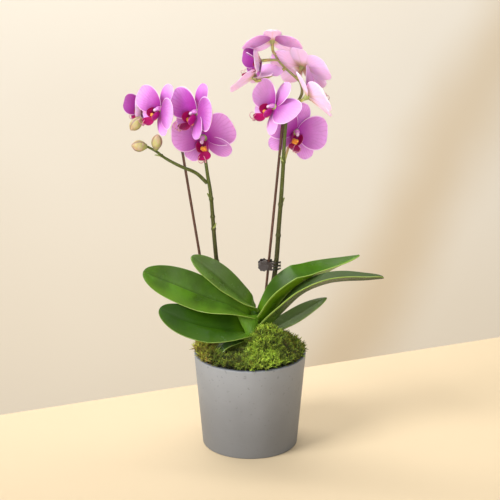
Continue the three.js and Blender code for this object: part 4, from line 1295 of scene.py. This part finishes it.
def lobe_grid(foot, along, normal, length, half, powers, curl, rows=14, cols=10):
    """The grid of one lobe of the lip, cupped towards its normal."""
    out = unit(np.array(along, float))
    face = np.array(normal, float)
    face = unit(face - out * np.dot(face, out))
    u, v = np.linspace(0, 1, rows + 1), eased(cols)
    width = petal_half(u, half, *powers)
    lift = curl * ((u**2)[:, None] + 0.7 * v**2 * u[:, None])
    spine = np.array(foot) + out * (length * u)[:, None]
    points = ribbon(spine, np.cross(out, face), width[:, None] * v, face, lift)
    thick = np.full(points.shape[:2], 1.1)
    return points, np.broadcast_to(face, points.shape), thick, np.meshgrid((v + 1) / 2, u)


class Bloom(Shape):
    """A shape whose parts are given in a bloom's own millimetres, with its share of the bloom's size."""

    def __init__(self, bloom, share=1):
        super().__init__()
        self.axes = bloom_axes(bloom["turn"]) * bloom["size"] * MM * share
        self.place = np.array(bloom["at"]) * MM
        self.size = bloom["size"] * MM * share

    def put_sheet(self, grid, mark=1.0):
        """Adds a sheet from its grid of points, normals and thickness."""
        points, normal, thick, chart = grid
        centre, normal = points @ self.axes + self.place, normal @ self.axes / self.size
        self.sheet(centre, normal, thick * self.size, *chart, under_mark=mark)

    def put_tube(self, points, radii, sides, slot):
        """Adds a round stem."""
        centre = np.asarray(points, float) @ self.axes + self.place
        self.tube(centre, np.asarray(radii, float) * self.size, sides, slot)


def make_tepals(name, bloom):
    """A bloom's sepals, petals, column with its cap, and back."""
    shape = Bloom(bloom)
    for (tepal, angle), lean, twist, back in zip(TEPALS, bloom["lean"], bloom["twist"], bloom["back"]):
        shape.put_sheet(tepal_grid(tepal, angle, lean, twist), back)
    u = np.linspace(0, 1, 16)
    column = Route([[0, 0.4, 0], [0, 0.8, 4], [0, -0.6, 8.4]]).at(u) / MM
    shape.put_tube(column, 1.9 + 0.9 * np.sin(np.pi * np.minimum(1, u * 1.02)), 16, 1)
    cap = Route([[0, -0.1, 7.6], [0, -1.3, 9.2], [0, -3, 9.4]]).at(u) / MM
    shape.put_tube(cap, 1.2 + 0.9 * np.sin(np.pi * u), 14, 2)
    shape.put_tube(np.stack([0 * u, 0 * u, 2 - (2 + BLOOM_BACK) * u], -1), 4.2 - 2.6 * u, 16, 3)
    # The bloom keeps its pale value and its painted shade as values on its faces.
    mesh = shape.mesh(name + "_tepals", pale=bloom["pale"], dark=bloom["dark"])
    piece("petals_" + name, mesh, ["petal", "column", "cap", "bract"], BODY, f"bloom_{name}_tepals")


def make_lip(name, bloom):
    """A bloom's lip: its strap, and on each side a lobe, a tendril and a hump, with the midlobe below."""
    shape = Bloom(bloom, bloom["lip"])
    u = np.linspace(0, 1, 16)
    strap = Route([[0, -2.4, 0.8], [0, -7, 3.2], [0, -12, 7]]).at(u) / MM
    shape.put_tube(strap, 1.3 + 0.9 * u, 14, 0)
    for s in (1, -1):
        foot, along, normal = [3 * s, -12.6, 5.6], [0.46 * s, 0.76, 0.5], [-0.85 * s, 0.3, 0.35]
        shape.put_sheet(lobe_grid(foot, along, normal, 13.5, 6.2, (0.5, 0.4), 2.2))
        shape.put_tube(Route(TENDRIL * [s, 1, 1]).at(u) / MM, 0.66 - 0.36 * u, 8, 2)
        hump = Route(HUMP * [s, 1, 1]).at(u) / MM
        shape.put_tube(hump, 2.7 - 1.0 * u + 0.3 * np.sin(3 * np.pi * u), 14, 1)
    shape.put_sheet(lobe_grid([0, -11.8, 6.4], [0, -0.66, 0.75], [0, 0.75, 0.66], 15.5, 8, (0.9, 0.45), 2.6))
    mesh = shape.mesh(name + "_lip")
    piece("lip_" + name, mesh, ["lip", "callus", "tendril"], BODY, f"bloom_{name}_lip")


# ---------- Stakes and clip ----------


def make_stake(name, stake):
    top, foot = np.array(stake["top"], float), np.array(stake["foot"], float)
    u = np.linspace(0, 1, 40)[:, None]
    shape = Shape()
    shape.tube((foot + (top - foot) * u) * MM, np.full(40, stake["radius"] * MM), 20)
    piece("stick_" + name, shape.mesh(name), ["stake"], BODY, name)


# The clip, about its pin: the height of its jaws, the radii of its knuckles and spring, its wall, its teeth
# with their levels on either jaw, its scalloped grip, and the lug that joins each knuckle to its jaw.
CLIP = {
    "pivot": [17.2, 16, 212], "height": 10, "knuckle": 2.2, "coil": 2.2, "coil_height": 2.4,
    "wall": 1.2, "tooth": 1.5, "front": [-3.9, 0, 3.9], "back": [-1.95, 1.95], "tab": 6.4, "scallops": 9,
    "scallop_depth": 0.8, "tab_at": -1.8, "tab_faces": [4.3, 5.7],
    "lug": [[-1.5, 1.9], [1.5, 1.9], [1.5, 3.6], [-1.5, 3.3]],
    "front_knuckles": [(-5, -2.9), (2.9, 5)], "back_knuckles": [(-2.6, -1.5), (1.5, 2.6)],
}
# The middle of a jaw's wall, from behind its pin to its tip.
JAW_ROUTE = [[-3, 3.1, 0], [1, 3.6, 0], [4.5, 5.2, 0], [9, 6.2, 0], [14.4, 4.9, 0], [18, 0.7, 0]]


def clip_place(points, mirror=1):
    """Takes points from the clip's own millimetres to the plant's metres, with Y times the mirror."""
    return (np.asarray(points, float) * [1, mirror, 1] + CLIP["pivot"]) * MM


def add_rows(shape, rows, mirror):
    """A closed body through rows of points that each go once round, with its ends drawn in to a point."""
    rows = np.asarray(rows, float)
    first, last = (np.broadcast_to(row.mean(axis=0), (1, *row.shape)) for row in (rows[0], rows[-1]))
    shape.rounds(clip_place(np.concatenate([first, rows, last]), mirror))


def add_slab(shape, outline, low, high, mirror, upright=True):
    """A flat shape with softened edges between two levels: along Z, or across the jaws."""
    outline = np.asarray(outline, float)
    middle = outline.mean(axis=0)
    inset = 0.14
    rows = []
    for level, draw in ((low, 1 - inset / 4), (low + inset, 1), (high - inset, 1), (high, 1 - inset / 4)):
        flat = middle + (outline - middle) * draw
        flat = np.column_stack([flat, np.full(len(outline), level)])
        rows.append(flat if upright else flat[:, [0, 2, 1]])
    add_rows(shape, rows, mirror)


def add_band(shape, start, end, low, high, mirror):
    """A part of a jaw's curved wall between two heights."""
    route = Route(JAW_ROUTE)
    u = np.linspace(start, end, 3 + int(24 * (end - start)))
    points, along = route.at(u) / MM, route.along(u)
    across = np.stack([along[:, 1], -along[:, 0], 0 * u], -1) * CLIP["wall"] / 2
    corners = ((-1, low), (1, low), (1, high), (-1, high))
    rows = [points + across * side + UP * level for side, level in corners]
    add_rows(shape, np.transpose(rows, (1, 0, 2)), mirror)


def make_jaw(name, node, body, teeth, knuckles, mirror):
    """One jaw: its wall, its teeth, its scalloped grip and the knuckles that turn on the pin."""
    shape = Shape()
    half = CLIP["height"] / 2
    add_band(shape, 0, 0.5, -half, half, mirror)
    for z in teeth:
        add_band(shape, 0.42, 1, z - CLIP["tooth"] / 2, z + CLIP["tooth"] / 2, mirror)
    turn = np.linspace(0, 2 * np.pi, 91)[:-1]
    reach = CLIP["tab"] - CLIP["scallop_depth"] * (1 - np.abs(np.cos(turn * CLIP["scallops"] / 2)))
    grip = np.column_stack([reach * np.cos(turn) + CLIP["tab_at"], reach * np.sin(turn)])
    add_slab(shape, grip, *CLIP["tab_faces"], mirror, upright=False)
    for low, high in knuckles:
        z = np.linspace(low, high, 4)
        pin = clip_place(np.column_stack([0 * z, 0 * z, z]))
        shape.tube(pin, np.full(4, CLIP["knuckle"] * MM), 24, cap=0)
        add_slab(shape, CLIP["lug"], low, high, mirror)
    piece(name, shape.mesh(name, smooth=False), ["clip"], body, node)


def make_spring():
    """A coil of wire round the clip's pin."""
    turns, radius, wire = 5, CLIP["coil"] - 0.3, 0.24
    t = np.linspace(0, 1, 40 * turns)
    angle = 2 * np.pi * turns * t
    z = (t - 0.5) * (CLIP["coil_height"] - 2 * wire)
    shape = Shape()
    path = clip_place(np.column_stack([radius * np.cos(angle), radius * np.sin(angle), z]))
    shape.tube(path, np.full(len(t), wire * MM), 10)
    piece("coil_spring", shape.mesh("coil_spring"), ["steel"], BODY, "clip_spring")


# ---------- Stage, light and camera ----------


def plane(name, corners, material):
    """A flat stage piece through four corners."""
    mesh = bpy.data.meshes.new(name)
    mesh.from_pydata(corners, [], [(0, 1, 2, 3)])
    mesh.materials.append(material)
    linked(name, mesh)


def area_light(name, at, aim, size, power, colour, spread):
    light = bpy.data.lights.new(name, "AREA")
    light.shape = "RECTANGLE"
    light.size, light.size_y = size
    light.energy = power
    light.color = colour
    light.spread = math.radians(spread)
    obj = linked(name, light)
    obj.location = at
    obj.rotation_euler = (Vector(aim) - Vector(at)).to_track_quat("-Z", "Y").to_euler()


def make_world():
    world = bpy.data.worlds.new("soft room")
    world.use_nodes = True
    background = world.node_tree.nodes["Background"].inputs
    background["Color"].default_value = (1, 0.98, 0.955, 1)
    background["Strength"].default_value = 0.3
    bpy.context.scene.world = world


def make_camera():
    camera = bpy.data.cameras.new("view")
    camera.sensor_width = CAMERA["sensor"]
    camera.lens = CAMERA["lens"]
    camera.clip_end = 20
    obj = linked("view", camera)
    obj.location = CAMERA["at"]
    obj.rotation_euler = (math.radians(90 - CAMERA["pitch"]), 0, 0)
    bpy.context.scene.camera = obj


def make_stage():
    plane("table_top", TABLE, finish("table"))
    plane("backdrop", BACKDROP, finish("backdrop"))
    key_power = bpy.context.scene.orchid_looks.key_power
    for name, (at, aim, size, share, colour, spread) in LIGHTS.items():
        area_light(name, at, aim, size, key_power * share, colour, spread)
    make_world()
    make_camera()
    bpy.context.scene.view_settings.view_transform = "Standard"


# ---------- Add-on ----------


def colour_property(name, description, value):
    return FloatVectorProperty(
        name=name, description=description, default=value, size=3, min=0, max=1, subtype="COLOR"
    )


class OrchidLooks(bpy.types.PropertyGroup):
    """Colours and light."""

    petal_colour: colour_property("Petals", "Colour of the petals and sepals", (0.63, 0.17, 0.74))
    centre_colour: colour_property("Petal centres", "Colour of the petals near the hub", (0.3, 0.006, 0.27))
    lip_colour: colour_property("Lips", "Colour of the lips", (0.33, 0.001, 0.095))
    leaf_colour: colour_property("Leaves", "Colour of the leaves from above", (0.05, 0.14, 0.0015))
    moss_colour: colour_property("Moss", "Colour of the fresh moss", (0.3, 0.46, 0.03))
    dry_moss_colour: colour_property("Dry moss", "Colour of the moss at the left", (0.42, 0.45, 0.05))
    pot_colour: colour_property("Pot", "Colour of the pot", (0.23, 0.239, 0.255))
    clip_colour: colour_property("Clip", "Colour of the clip", (0.022, 0.016, 0.018))
    key_power: FloatProperty(
        name="Key light", description="Power of the main light", default=146.0, unit="POWER"
    )


class OrchidSizes(bpy.types.PropertyGroup):
    """Sizes that a user would change."""

    sprig_length: FloatProperty(name="Moss needles", description="Mean length", default=0.0088, unit="LENGTH")
    sprig_density: FloatProperty(
        name="Needles per square metre", description="How dense the moss is", default=440000.0
    )
    seed: IntProperty(name="Seed", description="Seed of the moss", default=7)


class ORCHID_OT_pot(bpy.types.Operator):
    """Make the pot, the bark and the moss"""

    bl_idname = "orchid.pot"
    bl_label = "Pot, bark and moss"

    def execute(self, context):
        make_pot()
        make_medium()
        make_moss()
        return {"FINISHED"}


class ORCHID_OT_leaves(bpy.types.Operator):
    """Make the crown and its leaves"""

    bl_idname = "orchid.leaves"
    bl_label = "Crown and leaves"

    def execute(self, context):
        make_crown()
        for name, leaf in LEAVES.items():
            make_leaf(name, leaf)
        return {"FINISHED"}


class ORCHID_OT_spikes(bpy.types.Operator):
    """Make the flower spikes with their stalks, and the buds"""

    bl_idname = "orchid.spikes"
    bl_label = "Flower spikes and buds"

    def execute(self, context):
        make_spike("left", [SPIKE_LEFT, BRANCH_LEFT])
        make_spike("right", [SPIKE_RIGHT])
        for name, bud in BUDS.items():
            make_bud(name, bud)
        return {"FINISHED"}


class ORCHID_OT_blooms(bpy.types.Operator):
    """Make the open blooms with their lips"""

    bl_idname = "orchid.blooms"
    bl_label = "Blooms"

    def execute(self, context):
        for name, bloom in BLOOMS.items():
            make_tepals(name, USUAL_BLOOM | bloom)
            make_lip(name, USUAL_BLOOM | bloom)
        return {"FINISHED"}


class ORCHID_OT_support(bpy.types.Operator):
    """Make the sticks and the spring clip"""

    bl_idname = "orchid.support"
    bl_label = "Sticks and clip"

    def execute(self, context):
        for name, stake in STAKES.items():
            make_stake(name, stake)
        make_jaw("jaw_front", "clip_jaw_front", BODY, CLIP["front"], CLIP["front_knuckles"], -1)
        make_jaw("jaw_back", "clip_jaw_back", JAW_BODY, CLIP["back"], CLIP["back_knuckles"], 1)
        make_spring()
        return {"FINISHED"}


class ORCHID_OT_stage(bpy.types.Operator):
    """Set up the table, the backdrop, the lights and the camera"""

    bl_idname = "orchid.stage"
    bl_label = "Stage and camera"

    def execute(self, context):
        make_stage()
        return {"FINISHED"}


OPERATORS = (
    ORCHID_OT_pot, ORCHID_OT_leaves, ORCHID_OT_spikes, ORCHID_OT_blooms, ORCHID_OT_support, ORCHID_OT_stage,
)


class ORCHID_PT_panel(bpy.types.Panel):
    """Lists the sizes, the colours and the steps"""

    bl_label = "Orchid"
    bl_idname = "ORCHID_PT_panel"
    bl_space_type = "VIEW_3D"
    bl_region_type = "UI"
    bl_category = "Orchid"

    def draw(self, context):
        for group in (context.scene.orchid_sizes, context.scene.orchid_looks):
            for name in group.__annotations__:
                self.layout.prop(group, name)
        for operator in OPERATORS:
            self.layout.operator(operator.bl_idname)


CLASSES = (OrchidLooks, OrchidSizes, *OPERATORS, ORCHID_PT_panel)


def register():
    for cls in CLASSES:
        bpy.utils.register_class(cls)
    bpy.types.Scene.orchid_looks = PointerProperty(type=OrchidLooks)
    bpy.types.Scene.orchid_sizes = PointerProperty(type=OrchidSizes)


def unregister():
    del bpy.types.Scene.orchid_sizes
    del bpy.types.Scene.orchid_looks
    for cls in reversed(CLASSES):
        bpy.utils.unregister_class(cls)


def main():
    register()
    for operator in OPERATORS:
        group, name = operator.bl_idname.split(".")
        getattr(getattr(bpy.ops, group), name)()


if __name__ == "__main__":
    main()
